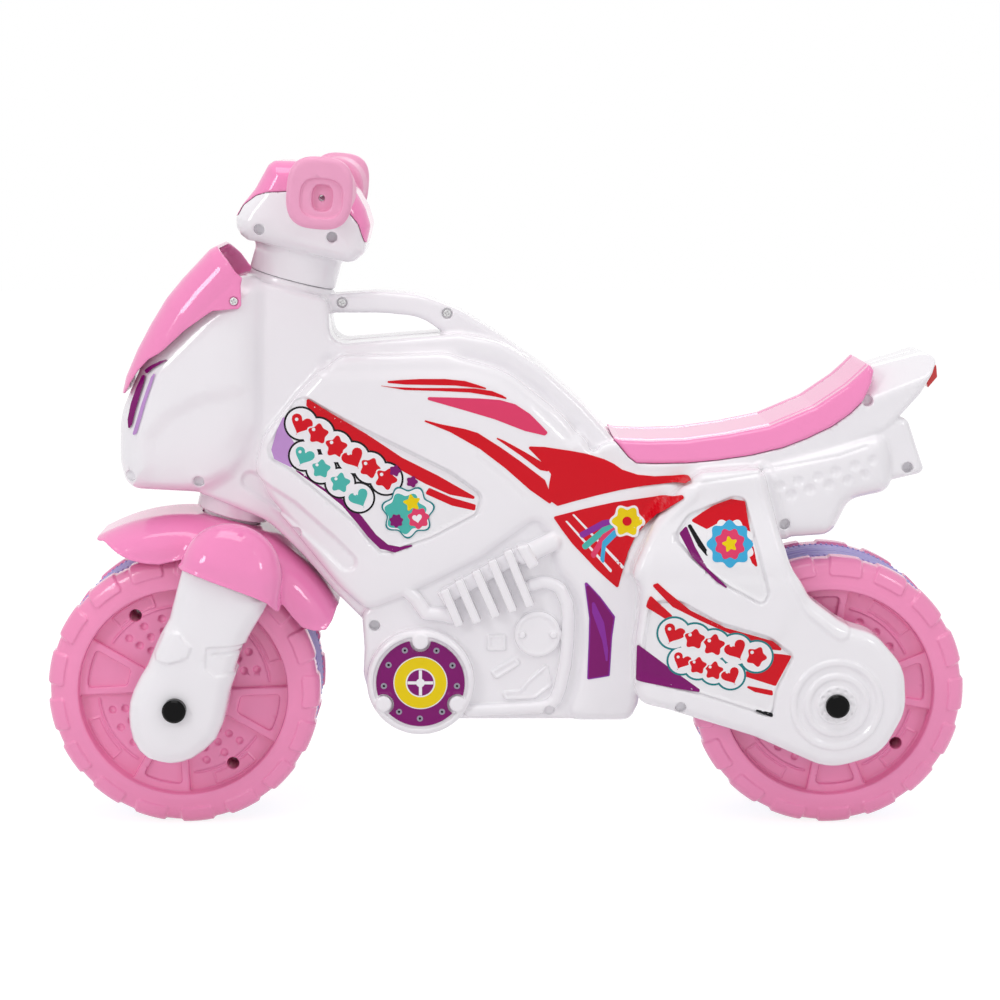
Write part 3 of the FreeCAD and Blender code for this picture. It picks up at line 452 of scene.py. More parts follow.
class Moulding:
    """A solid held as signed distances on a grid of points. Both sides of the bike are alike in it."""

    def __init__(self, low: tuple[float, float, float], high: tuple[float, float, float],
                 step: float = 1.0) -> None:
        """Makes an empty field.

        Args:
            low: Lowest corner of the grid.
            high: Highest corner of the grid.
            step: Distance between points.
        """
        self.low = np.array(low, float)
        self.step = step
        axes = [np.arange(a, b + step, step, dtype=np.float32) for a, b in zip(low, high)]
        self.x, self.y, self.z = axes
        self.values = np.full([len(axis) for axis in axes], FAR, np.float32)

    @property
    def side(self) -> Array:
        """Distance from the centre plane."""
        return np.abs(self.y)[None, :, None]

    @property
    def along(self) -> Array:
        """Places along the bike."""
        return self.x[:, None, None]

    @property
    def up(self) -> Array:
        """Heights."""
        return self.z[None, None, :]

    def over(self, shape: Shape) -> Array:
        """Distances from a shape seen from the side, over the whole grid."""
        return shape.distance(self.x, self.z)[:, None, :]

    def patch(self, shape: Shape, margin: float) -> tuple[tuple, Array]:
        """The part of the grid round a shape.

        Args:
            shape: The shape seen from the side.
            margin: How far round it the part reaches.

        Returns:
            The part's slices, and the shape's distances there.
        """
        x0, x1, z0, z1 = shape.span()
        i = slice(*np.searchsorted(self.x, (x0 - margin, x1 + margin)))
        k = slice(*np.searchsorted(self.z, (z0 - margin, z1 + margin)))
        return (i, slice(None), k), shape.distance(self.x[i], self.z[k])[:, None, :]

    def merge(self, other: Array, blend: float, where: tuple = WHOLE) -> None:
        """Adds a field in part of the grid."""
        self.values[where] = soft_min(self.values[where], other.astype(np.float32), blend)

    def carve(self, other: Array, blend: float, where: tuple = WHOLE) -> None:
        """Cuts a field away in part of the grid."""
        self.values[where] = -soft_min(-self.values[where], other.astype(np.float32), blend)

    def copy(self) -> "Moulding":
        """A second field with the same values.

        Returns:
            The copy.
        """
        twin = Moulding.__new__(Moulding)
        twin.low, twin.step, twin.values = self.low, self.step, self.values.copy()
        twin.x, twin.y, twin.z = self.x, self.y, self.z
        return twin

    def lean(self, line: Array, half: float, slope: float, blend: float = 3.0) -> None:
        """Leans the flanks inwards above a line seen from the side.

        Args:
            line: The line's points, from front to rear.
            half: How far out the flanks lie at the line.
            slope: How far they come in for each step up.
            blend: Rounding along the line.
        """
        i = slice(*np.searchsorted(self.x, (line[0, 0], line[-1, 0])))
        base = np.interp(self.x[i], line[:, 0], line[:, 1]).astype(np.float32)
        rise = (self.z[None, :] - base[:, None])[:, None, :]
        flank = (half - slope * rise - self.side) / math.hypot(1, slope)
        self.carve(flank, blend, (i,))

    def slab(self, flat: Array, half: float, edge: float, drop: float, reach: float, near: float) -> Array:
        """Distances from a slab over a shape, on both sides of the centre plane.

        Args:
            flat: Distances from the shape.
            half: How far out the slab's face lies.
            edge: Rounding of its rim.
            drop: How much lower the face is at the rim.
            reach: How far from the rim the face is level.
            near: How far out the slab starts.

        Returns:
            The distances.
        """
        top = half - drop * np.clip(1 + flat / reach, 0, 1) ** 2 if drop else half
        across = self.side - top
        if near:
            across = np.maximum(across, near - self.side)
        return rim(flat, across, edge)

    def add(self, shape: Shape, half: float | Callable[[Array], Array], edge: float = 2.0, blend: float = 0.0,
            drop: float = 0.0, reach: float = 30.0, near: float = 0.0) -> None:
        """Adds a slab with a rounded rim.

        Args:
            shape: The shape seen from the side.
            half: How far out the slab's face lies, or a rule that gives it for each height.
            edge: Rounding of its rim.
            blend: Rounding where it meets the rest.
            drop: How much lower the face is at the rim.
            reach: How far from the rim the face is level.
            near: How far out the slab starts.
        """
        where, flat = self.patch(shape, edge + blend + 6)
        if callable(half):
            half = half(self.z[where[2]])[None, None, :]
        self.merge(self.slab(flat, half, edge, drop, reach, near), blend, where)

    def cut(self, shape: Shape, deep: float, edge: float = 1.0, blend: float = 1.0, out: float = 1e3) -> None:
        """Cuts a shape away from one distance off the centre plane outwards.

        Args:
            shape: The shape seen from the side.
            deep: Where the cut's floor lies.
            edge: Rounding at its floor.
            blend: Rounding at its mouth.
            out: Where the cut ends.
        """
        where, flat = self.patch(shape, edge + blend + 6)
        self.carve(rim(flat, np.maximum(deep - self.side, self.side - out), edge), blend, where)

    def sink(self, shape: Shape, depth: float, soft: float = 1.5) -> None:
        """Sinks the skin inside a shape, or raises it where depth is negative.

        Args:
            shape: The shape seen from the side.
            depth: How far the skin sinks.
            soft: Width of the slope.
        """
        where, flat = self.patch(shape, soft + 2)
        self.values[where] += depth * smooth_step(0.5 - flat / soft)

    def post(self, stance: Stance, radius: float, low: float, high: float, edge: float, blend: float) -> None:
        """Adds a round post along the steering axis.

        Args:
            stance: The bike's stance.
            radius: The post's radius.
            low: Where it starts, up the axis.
            high: Where it ends.
            edge: Rounding of its ends.
            blend: Rounding where it meets the rest.
        """
        e, s = stance.head_place(self.along, self.up)
        middle, half = (low + high) / 2, (high - low) / 2
        self.merge(rim(np.hypot(e, self.side) - radius, np.abs(s - middle) - half, edge), blend)

    def dent(self, place: Spot, radius: float, blend: float = 0.6) -> None:
        """Presses a ball into the skin.

        Args:
            place: The ball's centre.
            radius: Its radius.
            blend: Rounding at the dent's mouth.
        """
        where, flat = self.patch(Shape.disc((place[0], place[2]), radius), 3)
        self.carve(np.hypot(flat + radius, self.side - abs(place[1])) - radius, blend, where)

    def half(self, gap: float = 0.15) -> None:
        """Keeps only the left side, short of the centre plane by a gap."""
        self.values = np.maximum(self.values, (self.y + gap)[None, :, None])

    def sample(self, points: Array) -> Array:
        """The field at any points, by linear steps between the grid's points.

        Args:
            points: The points.

        Returns:
            The field's value at each.
        """
        place = (points - self.low) / self.step
        top = np.array(self.values.shape) - 2
        base = np.clip(np.floor(place).astype(int), 0, top)
        part = np.clip(place - base, 0, 1)
        total = np.zeros(len(points))
        for corner in range(8):
            bits = np.array([corner & 1, corner >> 1 & 1, corner >> 2 & 1])
            weight = np.prod(np.where(bits, part, 1 - part), axis=1)
            i, j, k = (base + bits).T
            total += weight * np.clip(self.values[i, j, k], -FAR, FAR)
        return total

    def slope(self, points: Array) -> Array:
        """The outward direction of the skin at some points.

        Args:
            points: The points.

        Returns:
            A unit vector for each.
        """
        parts = []
        for axis in range(3):
            shift = np.zeros(3)
            shift[axis] = self.step * 0.6
            parts.append(self.sample(points + shift) - self.sample(points - shift))
        slope = np.stack(parts, 1)
        return slope / np.maximum(np.linalg.norm(slope, axis=1, keepdims=True), 1e-9)

    def skin(self, coarseness: float = 0.02) -> Skin:
        """Meshes the field's zero level.

        Args:
            coarseness: Nought keeps every cell, and one merges the most.

        Returns:
            The skin, facing outwards.
        """
        band = 3 * self.step
        grid = openvdb.FloatGrid(band)
        grid.copyFromArray(np.ascontiguousarray(np.clip(self.values, -band, band)), tolerance=0)
        cells, triangles, quads = grid.convertToPolygons(0.0, coarseness)
        points = self.low + np.asarray(cells, float) * self.step
        normals = self.slope(points)
        triangles, quads = np.asarray(triangles).reshape(-1, 3), np.asarray(quads).reshape(-1, 4)
        sheets = np.concatenate([triangles, quads[:, :3], quads[:, [0, 2, 3]]])
        a, b, c = (points[sheets[:, n]] for n in range(3))
        if np.einsum("ij,ij->", a, np.cross(b, c)) < 0:
            triangles, quads = triangles[:, ::-1], quads[:, ::-1]
        return Skin(points, normals, triangles, quads)


class SideFace:
    """How far out the left side's skin lies, for labels that follow it."""

    def __init__(self, moulding: Moulding) -> None:
        """Finds the outermost skin along each line across the bike.

        Args:
            moulding: The field of the left side.
        """
        values = moulding.values
        hit = values < 0
        first = np.clip(hit.argmax(axis=1), 1, None)
        i, k = np.indices(first.shape)
        inner, outer = values[i, first, k], values[i, first - 1, k]
        part = np.clip(outer / np.maximum(outer - inner, 1e-6), 0, 1)
        place = np.where(hit.any(axis=1), moulding.y[first - 1] + part * moulding.step, 0.0)
        for axis in (0, 1, 0, 1):
            place = np.minimum(place, np.minimum(np.roll(place, 1, axis), np.roll(place, -1, axis)))
        for axis in (0, 1, 0, 1):
            place = (place + np.roll(place, 1, axis) + np.roll(place, -1, axis)) / 3
        self.place = place
        self.low = moulding.low
        self.step = moulding.step

    def at(self, points: Array) -> Array:
        """How far out the skin lies at places seen from the side.

        Args:
            points: X and Z of each place.

        Returns:
            The skin's Y there.
        """
        place = (points - self.low[[0, 2]]) / self.step
        base = np.clip(np.floor(place).astype(int), 0, np.array(self.place.shape) - 2)
        part = place - base
        i, k = base.T
        rows = [self.place[i + a, k + b] * abs(1 - a - part[:, 0]) * abs(1 - b - part[:, 1])
                for a in (0, 1) for b in (0, 1)]
        return sum(rows)


# Finishes

class Tone(Enum):
    """Colours of the mouldings and prints, as a screen shows them."""

    SHELL = (0.96, 0.952, 0.965)
    PINK = (0.975, 0.55, 0.765)
    WHEEL = (0.975, 0.575, 0.755)
    GRIP = (0.945, 0.65, 0.785)
    BAND = (0.69, 0.65, 0.90)
    LENS = (0.80, 0.05, 0.07)
    CAP = (0.02, 0.02, 0.022)
    ZINC = (0.62, 0.60, 0.58)
    PRINT_WHITE = (0.955, 0.95, 0.96)
    PRINT_RED = (0.84, 0.02, 0.11)
    PRINT_ROSE = (0.89, 0.25, 0.42)
    PRINT_PURPLE = (0.50, 0.05, 0.42)
    PRINT_VIOLET = (0.55, 0.18, 0.62)
    PRINT_LILAC = (0.76, 0.58, 0.82)
    PRINT_TEAL = (0.30, 0.72, 0.68)
    PRINT_DEEP_TEAL = (0.10, 0.50, 0.52)
    PRINT_YELLOW = (0.93, 0.82, 0.02)
    PRINT_BLUE = (0.25, 0.68, 0.86)
    PRINT_BLACK = (0.04, 0.03, 0.06)
    PRINT_GREY = (0.62, 0.60, 0.66)


def light_value(shown: float) -> float:
    """The light that a screen's value stands for."""
    return shown / 12.92 if shown <= 0.04045 else ((shown + 0.055) / 1.055) ** 2.4


@dataclass(frozen=True)
class Finish:
    """A moulded or printed surface."""

    tone: Tone
    slot: str
    roughness: float = 0.22
    unevenness: float = 0.06
    mottle: float = 0.03
    grain: float = 3.0
    bump: float = 0.04
    coat: float = 0.0
    metallic: float = 0.0
    shine: float = 0.5

    def material(self) -> bpy.types.Material:
        """Makes the material, or gives the one already made.

        Returns:
            The material.
        """
        name = self.tone.name.lower()
        found = bpy.data.materials.get(name)
        if found:
            return found
        material = bpy.data.materials.new(name)
        material.use_nodes = True
        tree = material.node_tree
        shader = tree.nodes["Principled BSDF"]
        settle(shader, {"Metallic": self.metallic, "Coat Weight": self.coat, "Coat Roughness": 0.03,
                        "Specular IOR Level": self.shine})
        place = tree.nodes.new("ShaderNodeTexCoord")
        cloud = self.noise(tree, place, METRE / (self.grain * 14), 2.0)
        fine = self.noise(tree, place, METRE / self.grain, 3.0)
        tint, spread, bump = (tree.nodes.new("ShaderNode" + kind) for kind in ("Mix", "MapRange", "Bump"))
        tint.data_type = "RGBA"
        base = [light_value(c) for c in self.tone.value]
        settle(tint, {"A": [c * (1 - self.mottle) for c in base] + [1],
                      "B": [min(1.0, c * (1 + self.mottle)) for c in base] + [1]})
        settle(spread, {"To Min": self.roughness - self.unevenness, "To Max": self.roughness + self.unevenness})
        settle(bump, {"Strength": self.bump, "Distance": 0.2 / METRE})
        wire(tree, (cloud.outputs["Fac"], tint.inputs["Factor"]), (tint.outputs["Result"], shader.inputs["Base Color"]),
             (fine.outputs["Fac"], spread.inputs["Value"]), (spread.outputs["Result"], shader.inputs["Roughness"]),
             (fine.outputs["Fac"], bump.inputs["Height"]), (bump.outputs["Normal"], shader.inputs["Normal"]))
        return material

    @staticmethod
    def noise(tree: bpy.types.NodeTree, place: bpy.types.Node, scale: float,
              detail: float) -> bpy.types.Node:
        """Adds a noise texture on the object's own coordinates.

        Args:
            tree: The material's nodes.
            place: The node that gives the coordinates.
            scale: Waves in a metre.
            detail: How many finer waves lie on them.

        Returns:
            The noise node.
        """
        node = settle(tree.nodes.new("ShaderNodeTexNoise"), {"Scale": scale, "Detail": detail})
        wire(tree, (place.outputs["Object"], node.inputs["Vector"]))
        return node


WHITE = Finish(Tone.SHELL, "white_shell", roughness=0.12, unevenness=0.03, mottle=0.012, bump=0.015, coat=0.3)
PINK = Finish(Tone.PINK, "pink_shell", roughness=0.10, unevenness=0.03, mottle=0.015, bump=0.015, coat=0.4)
WHEEL = Finish(Tone.WHEEL, "pink_wheel", roughness=0.17, unevenness=0.04, bump=0.03, coat=0.2)
GRIP = Finish(Tone.GRIP, "grip_plastic", roughness=0.42, bump=0.10, grain=1.4)
BAND = Finish(Tone.BAND, "lavender_band", roughness=0.48, bump=0.12, grain=1.2)
LENS = Finish(Tone.LENS, "red_lens", roughness=0.10, unevenness=0.03, coat=0.5)
CAP = Finish(Tone.CAP, "black_cap", roughness=0.06, unevenness=0.02, bump=0.02, shine=0.12)
ZINC = Finish(Tone.ZINC, "zinc", roughness=0.36, metallic=1.0, grain=0.6, mottle=0.10)


def print_finish(tone: Tone) -> Finish:
    """The finish of a printed film in a colour."""
    return Finish(tone, "white_shell", roughness=0.2, unevenness=0.03, bump=0.01, mottle=0.015, shine=0.2)


def dress(piece: bpy.types.Object, finish: Finish, body: str, *nodes: str) -> bpy.types.Object:
    """Gives a piece its finish, its body and the nodes that it stands for.

    Args:
        piece: The piece's object.
        finish: Its finish.
        body: The body that it moves with.
        *nodes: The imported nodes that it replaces.

    Returns:
        The piece.
    """
    piece.data.materials.clear()
    piece.data.materials.append(finish.material())
    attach(piece, body)
    if nodes:
        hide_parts(*nodes)
    log.info("%s: %d faces", piece.name, len(piece.data.polygons))
    return piece


# Repeated hardware

class Places:
    """Sets one small mesh at many places, through a node tree."""

    def __init__(self) -> None:
        """Builds the tree with its named inputs."""
        tree = bpy.data.node_groups.new("set_at_places", "GeometryNodeTree")
        self.tree = tree
        self.inputs: dict[str, str] = {}
        for name, kind in (("Places", "Geometry"), ("Item", "Object"), ("Size", "Float"),
                           ("Finish", "Material")):
            socket = tree.interface.new_socket(name, in_out="INPUT", socket_type="NodeSocket" + kind)
            self.inputs[name] = socket.identifier
        tree.interface.new_socket("Result", in_out="OUTPUT", socket_type="NodeSocketGeometry")
        nodes = tree.nodes
        source, result = nodes.new("NodeGroupInput"), nodes.new("NodeGroupOutput")
        item, turn, points, put, real, paint = (nodes.new("GeometryNode" + kind) for kind in (
            "ObjectInfo", "InputNamedAttribute", "MeshToPoints", "InstanceOnPoints", "RealizeInstances", "SetMaterial"))
        turn.data_type = "FLOAT_VECTOR"
        settle(turn, {"Name": "turn"})
        wire(tree, (source.outputs["Places"], points.inputs["Mesh"]), (source.outputs["Item"], item.inputs["Object"]),
             (points.outputs["Points"], put.inputs["Points"]), (item.outputs["Geometry"], put.inputs["Instance"]),
             (turn.outputs["Attribute"], put.inputs["Rotation"]), (source.outputs["Size"], put.inputs["Scale"]),
             (put.outputs["Instances"], real.inputs["Geometry"]), (real.outputs["Geometry"], paint.inputs["Geometry"]),
             (source.outputs["Finish"], paint.inputs["Material"]), (paint.outputs["Geometry"], result.inputs["Result"]))

    def build(self, name: str, item: bpy.types.Object, places: Array, turns: Array, finish: Finish,
              body: str, *nodes: str) -> bpy.types.Object:
        """Sets the item at every place and makes one plain mesh of it.

        Args:
            name: The piece's name.
            item: What stands at each place. It is removed afterwards.
            places: The places in millimetres.
            turns: The turn about X, Y and Z at each place, in radians.
            finish: The finish.
            body: The body that the piece moves with.
            *nodes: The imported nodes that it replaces.

        Returns:
            The piece.
        """
        mesh = bpy.data.meshes.new(name + "_places")
        mesh.from_pydata(np.array(places, float) / METRE, [], [])
        mesh.attributes.new("turn", "FLOAT_VECTOR", "POINT").data.foreach_set(
            "vector", np.array(turns, np.float32).ravel())
        piece = linked(name, mesh)
        modifier = piece.modifiers.new("set", "NODES")
        modifier.node_group = self.tree
        modifier[self.inputs["Item"]] = item
        modifier[self.inputs["Size"]] = 1.0
        modifier[self.inputs["Finish"]] = finish.material()
        made = bpy.data.meshes.new_from_object(piece.evaluated_get(bpy.context.evaluated_depsgraph_get()))
        piece.modifiers.clear()
        bpy.data.objects.remove(item)
        piece.data = made
        made.name = name
        if "turn" in made.attributes:
            made.attributes.remove(made.attributes["turn"])
        return dress(piece, finish, body, *nodes)


@dataclass
class ScrewMaker:
    """Self-tapping screws with a cross in their heads."""

    stance: Stance
    places: Places
    head_radius: float = 3.0
    head_height: float = 2.2
    shaft_radius: float = 1.6
    cross_width: float = 0.9
    cross_reach: float = 1.9
    cross_depth: float = 1.2
    grip: float = 10.0

    def item(self, length: float) -> bpy.types.Object:
        """One screw whose head's seat is at the origin and whose shaft runs towards +Y.

        Args:
            length: The shaft's length.

        Returns:
            The screw, which Places.build takes away again.
        """
        reach = self.head_radius + 0.6
        body = Moulding((-reach, -self.head_height - 0.6, -reach), (reach, length + 0.6, reach), 0.16)
        head = Shape.disc((0.0, 0.0), self.head_radius)
        y = body.y[None, :, None]
        where, flat = body.patch(head, 3)
        body.merge(rim(flat, np.abs(y + self.head_height / 2) - self.head_height / 2, 0.7), 0.0, where)
        where, flat = body.patch(Shape.disc((0.0, 0.0), self.shaft_radius), 3)
        body.merge(np.maximum(flat, np.abs(y - length / 2) - length / 2), 0.3, where)
        for dx, dz in ((self.cross_reach, 0.0), (0.0, self.cross_reach)):
            bar = Shape.line(np.array([(-dx, -dz), (dx, dz)]), self.cross_width / 2)
            where, flat = body.patch(bar, 3)
            body.carve(np.maximum(flat, y + self.head_height - self.cross_depth), 0.1, where)
        return body.skin(0.3).to_object("screw_item")

    def build(self, name: str, spots: list[tuple[float, float, float, int]], length: float, body: str,
              node: str, on_head: bool = False) -> bpy.types.Object:
        """Makes all the screws of one node.

        Args:
            name: The piece's name.
            spots: X, Y and Z of each head's seat, and the side that it faces.
            length: The shafts' length.
            body: The body that they move with.
            node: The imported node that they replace.
            on_head: Whether the places lie in the steering head's frame.

        Returns:
            The piece.
        """
        item = self.item(length)
        places = np.array([spot[:3] for spot in spots], float)
        tilt = self.stance.rake if on_head else 0.3
        turns = [(0.0, tilt, 0.0 if spot[3] == LEFT else math.pi) for spot in spots]
        if on_head:
            places = self.stance.from_head(places)
        return self.places.build(name, item, places, np.array(turns), ZINC, body, node)


# Labels

def grown(loop: Array, distance: float) -> Array:
    """A loop drawn outwards by a distance, for the border round a print.

    Args:
        loop: The loop's points.
        distance: How far it grows.

    Returns:
        The larger loop.
    """
    ahead = np.roll(loop, -1, axis=0) - loop
    area = np.sum(loop[:, 0] * np.roll(loop[:, 1], -1) - np.roll(loop[:, 0], -1) * loop[:, 1])
    normal = np.stack([ahead[:, 1], -ahead[:, 0]], 1) * (1 if area > 0 else -1)
    normal /= np.maximum(np.linalg.norm(normal, axis=1, keepdims=True), 1e-9)
    middle = normal + np.roll(normal, 1, axis=0)
    scale = np.maximum(np.sum(middle * normal, axis=1, keepdims=True), 0.5)
    return loop + middle * (distance / scale)


def star(centre: Spot, radius: float, turn: float = 0.0, points: int = 5,
         waist: float = 0.5, corner: float = 0.12) -> Array:
    """A star with soft points.

    Args:
        centre: Its centre.
        radius: Its reach.
        turn: Its turn in degrees.
        points: How many points it has.
        waist: Share of the reach at which its notches lie.
        corner: Rounding as a share of the reach.

    Returns:
        The star's loop.
    """
    rows = []
    for index in range(2 * points):
        angle = math.radians(turn + 90) + math.pi * index / points
        reach = radius if index % 2 == 0 else radius * waist
        rows.append((centre[0] + reach * math.cos(angle), centre[1] + reach * math.sin(angle), radius * corner))
    return rounded(rows, 3)


def heart(centre: Spot, radius: float, turn: float = 0.0) -> Array:
    """A heart.

    Args:
        centre: Its centre.
        radius: Half its width.
        turn: Its turn in degrees.

    Returns:
        The heart's loop.
    """
    t = np.linspace(0, 2 * math.pi, 28, endpoint=False)
    x = np.sin(t) ** 3
    z = (13 * np.cos(t) - 5 * np.cos(2 * t) - 2 * np.cos(3 * t) - np.cos(4 * t)) / 16
    cos, sin = math.cos(math.radians(turn)), math.sin(math.radians(turn))
    return np.stack([x * cos - z * sin, x * sin + z * cos], 1) * radius + np.array(centre)


def petals(centre: Spot, radius: float, count: int = 6, depth: float = 0.22,
           turn: float = 0.0) -> Array:
    """A round bloom with a wavy edge.

    Args:
        centre: Its centre.
        radius: Its reach.
        count: How many petals it has.
        depth: Share of the reach that the edge waves by.
        turn: Its turn in degrees.

    Returns:
        The bloom's loop.
    """
    t = np.linspace(0, 2 * math.pi, 10 * count, endpoint=False)
    reach = radius * (1 - depth / 2 + depth / 2 * np.cos(count * (t - math.radians(turn))))
    return np.stack([reach * np.cos(t), reach * np.sin(t)], 1) + np.array(centre)


def on_circle(centre: Spot, radius: float, angle: float) -> Spot:
    """The place on a circle at an angle in degrees."""
    return tuple(ring(centre, radius, angle, angle + 1, 2)[0])


def ring(centre: Spot, radius: float, start: float = 0.0, stop: float = 360.0,
         steps: int = 60) -> Array:
    """Points on a circle or an arc, with angles in degrees.

    Args:
        centre: The centre.
        radius: The radius.
        start: First angle.
        stop: Last angle.
        steps: Runs along the arc.

    Returns:
        The points.
    """
    t = np.radians(np.linspace(start, stop, steps, endpoint=stop - start < 360))
    return np.stack([centre[0] + radius * np.cos(t), centre[1] + radius * np.sin(t)], 1)


class Label:
    """A printed label of thin films that follows a moulded side."""

    film = 0.3
    lift = 0.16
    layer = 0.11
    edge_step = 1.5
    inner_step = 2.2

    def __init__(self, face: SideFace) -> None:
        """Starts an empty label on a side.

        Args:
            face: The side that it follows.
        """
        self.face = face
        self.points: list[Array] = []
        self.faces: list[tuple[list[int], int]] = []
        self.tones: list[Tone] = []
        self.count = 0

    def dense(self, loop: Array) -> Array:
        """The loop with points at least every few millimetres.

        Args:
            loop: The loop.

        Returns:
            The denser loop.
        """
        points = []
        for a, b in zip(loop, np.roll(loop, -1, axis=0)):
            runs = max(1, math.ceil(float(np.linalg.norm(b - a)) / self.edge_step))
            points += [a + (b - a) * n / runs for n in range(runs)]
        return np.array(points)

    def add(self, tone: Tone, level: float, *loops: Array) -> None:
        """Adds one film. A loop inside another is a hole in it.

        Args:
            tone: The film's colour.
            level: How many films lie under it.
            *loops: The film's outlines.
        """
        rims = [self.dense(np.array(loop, float)) for loop in loops]
        stack = np.concatenate(rims)
        x, z = (np.arange(math.ceil(a / self.inner_step), b / self.inner_step, dtype=np.float32) * self.inner_step
                for a, b in zip(stack.min(0), stack.max(0)))
        i, k = np.nonzero(self.depth(rims, x[:, None], z[None, :]) > self.edge_step / 2)
        seeds = np.concatenate([stack, np.stack([x[i], z[k]], 1)])
        edges, base = [], 0
        for loop in rims:
            edges += [(base + n, base + (n + 1) % len(loop)) for n in range(len(loop))]
            base += len(loop)
        flat, _, cells, *_ = delaunay_2d_cdt([tuple(p) for p in seeds.tolist()], edges, [], 0, 1e-5)
        flat, cells = np.array([tuple(p) for p in flat]), np.array(cells)
        middle = flat[cells].mean(1)
        self.plate(flat, cells[self.depth(rims, middle[:, 0], middle[:, 1]) > 0], tone, level)

    @staticmethod
    def depth(rims: list[Array], x: Array, z: Array) -> Array:
        """How deep places lie in the film, negative outside it."""
        gaps = np.array([edge_distance(loop, x, z, True) for loop in rims])
        return np.abs(gaps).min(0) * np.where((gaps < 0).sum(0) % 2, 1, -1)

    def plate(self, flat: Array, cells: Array, tone: Tone, level: float) -> None:
        """Gives a flat mesh its place on the side and its thickness.

        Args:
            flat: X and Z of the points.
            cells: The triangles between them.
            tone: The colour.
            level: How many films lie under it.
        """
        if tone not in self.tones:
            self.tones.append(tone)
        out = self.face.at(flat)
        for y in (out - self.lift - self.layer * level, out + self.film):
            self.points.append(np.stack([flat[:, 0], y, flat[:, 1]], 1))
        ab, ac = (flat[cells[:, n]] - flat[cells[:, 0]] for n in (1, 2))
        turned = ab[:, 0] * ac[:, 1] < ab[:, 1] * ac[:, 0]
        cells[turned] = cells[turned][:, ::-1]
        sides = {side for cell in cells.tolist() for side in zip(cell, cell[1:] + cell[:1])}
        border = np.array(sorted((p, q) for p, q in sides if (q, p) not in sides))
        count = len(flat)
        walls = np.concatenate([border[:, ::-1], border + count], 1)
        for part in (cells, cells[:, ::-1] + count, walls):
            self.faces += [(face, self.tones.index(tone)) for face in (part + self.count).tolist()]
        self.count += 2 * count

    def build(self, name: str, side: int, body: str) -> bpy.types.Object:
        """Makes the label's piece.

        Args:
            name: The piece's name.
            side: Left or right.
            body: The body that it moves with.

        Returns:
            The piece.
        """
        points = np.concatenate(self.points)
        faces = [cell for cell, _ in self.faces]
        if side == RIGHT:
            points = points * np.array([1.0, -1.0, 1.0])
            faces = [cell[::-1] for cell in faces]
        used = sorted({index for cell in faces for index in cell})
        place = {index: n for n, index in enumerate(used)}
        mesh = bpy.data.meshes.new(name)
        mesh.from_pydata(points[used] / METRE, [], [[place[i] for i in cell] for cell in faces])
        mesh.polygons.foreach_set("material_index", [slot for _, slot in self.faces])
        piece = linked(name, mesh)
        for tone in self.tones:
            mesh.materials.append(print_finish(tone).material())
        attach(piece, body)
        log.info("%s: %d faces", name, len(faces))
        return piece


# Frame

@dataclass
class Part:
    """What every part of the bike is built from, and how its outlines are drawn."""

    stance: Stance
    lens: Lens
    screws: ScrewMaker
    body = "frame"

    def shape(self, shares: Rows) -> Shape:
        """A region of the frame from its shares."""
        return Shape(self.stance.placed(shares))

    def drawn(self, pixels: Rows, y: float) -> Shape:
        """A region drawn in pixels on a plane."""
        return Shape(self.lens.outline(pixels, y))

    def stroke(self, pixels: Points, y: float, radius: float) -> Shape:
        """A stroke drawn in pixels on a plane."""
        return Shape.line(self.lens.on_plane(pixels, y), radius)

    def pixel_place(self, pixel: Spot, y: float) -> Array:
        """A pixel's place on a plane, seen from the side."""
        return self.lens.on_plane([pixel], y)[0]


@dataclass(frozen=True)
class Pod:
    """One swelling of the frame's shell. Its shares are in thousandths, its corners in tenths of the unit."""

    shares: Rows
    half: float
    edge: float
    blend: float = 4.0
    drop: float = 0.0
    reach: float = 30.0
    flare: float = 0.0
    flare_shares: Spot = (0, 0)


SPINE = Pod([(-469, 501, 3), (-366, 430, 20), (-314, 346, 30), (-264, 250, 30), (-223, 182, 5), (100, 150, 5),
    (190, 590, 5), (115, 724, 30), (54, 814, 40), (-10, 880, 30), (-72, 898, 10), (-268, 872, 6), (-272, 988, 5),
    (-378, 1030, 5), (-469, 624, 10)], 38, 5, 0)
HANDLE = Pod([(-300, 988, 4), (-195, 1000, 30), (-133, 992, 30), (-72, 955, 40), (-10, 892, 40), (54, 814, 4),
    (10, 790, 4), (-70, 860, 4), (-90, 888, 6), (-131, 937, 20), (-195, 946, 20), (-300, 946, 4)], 17, 5, 4)
COWL = Pod([(-410, 1043, 8), (-477, 965, 25), (-549.5, 850, 30), (-592, 700, 30), (-594, 585, 15), (-584, 511, 8),
    (-461, 501, 9), (-410, 546, 20), (-370, 682, 20), (-366, 1037, 8)], 54, 22, 5, 5, 45)
TANK = Pod([(-262, 852, 12), (-87, 858, 30), (0, 820, 40), (89, 705, 40), (131, 617, 12), (199, 566, 15),
    (298, 546, 8), (278, 463, 10), (211, 317, 10), (205, -28, 8), (193, -71, 7), (90, -71, 7), (106, 12, 30),
    (117, 115, 30), (113, 227, 30), (97, 280, 15), (76, 313, 10), (66, 400, 10), (46, 443, 6), (-40, 340, 30),
    (-159, 243, 30), (-215, 208, 7), (-258, 275, 30), (-370, 501, 20), (-384, 572, 9), (-370, 650, 10),
    (-318, 753, 15)], 54, 8, 5, 2, 26)
ENGINE = Pod([(-223, 205, 4), (-219, 111, 10), (-221, 43, 10), (-205, -41, 8), (-171, -95, 8), (-119, -104, 10),
    (-80, -71, 5), (191, -71, 4), (205, -28, 4), (205, 430, 5), (58, 463, 5), (-80, 317, 10)], 46, 5, 3)
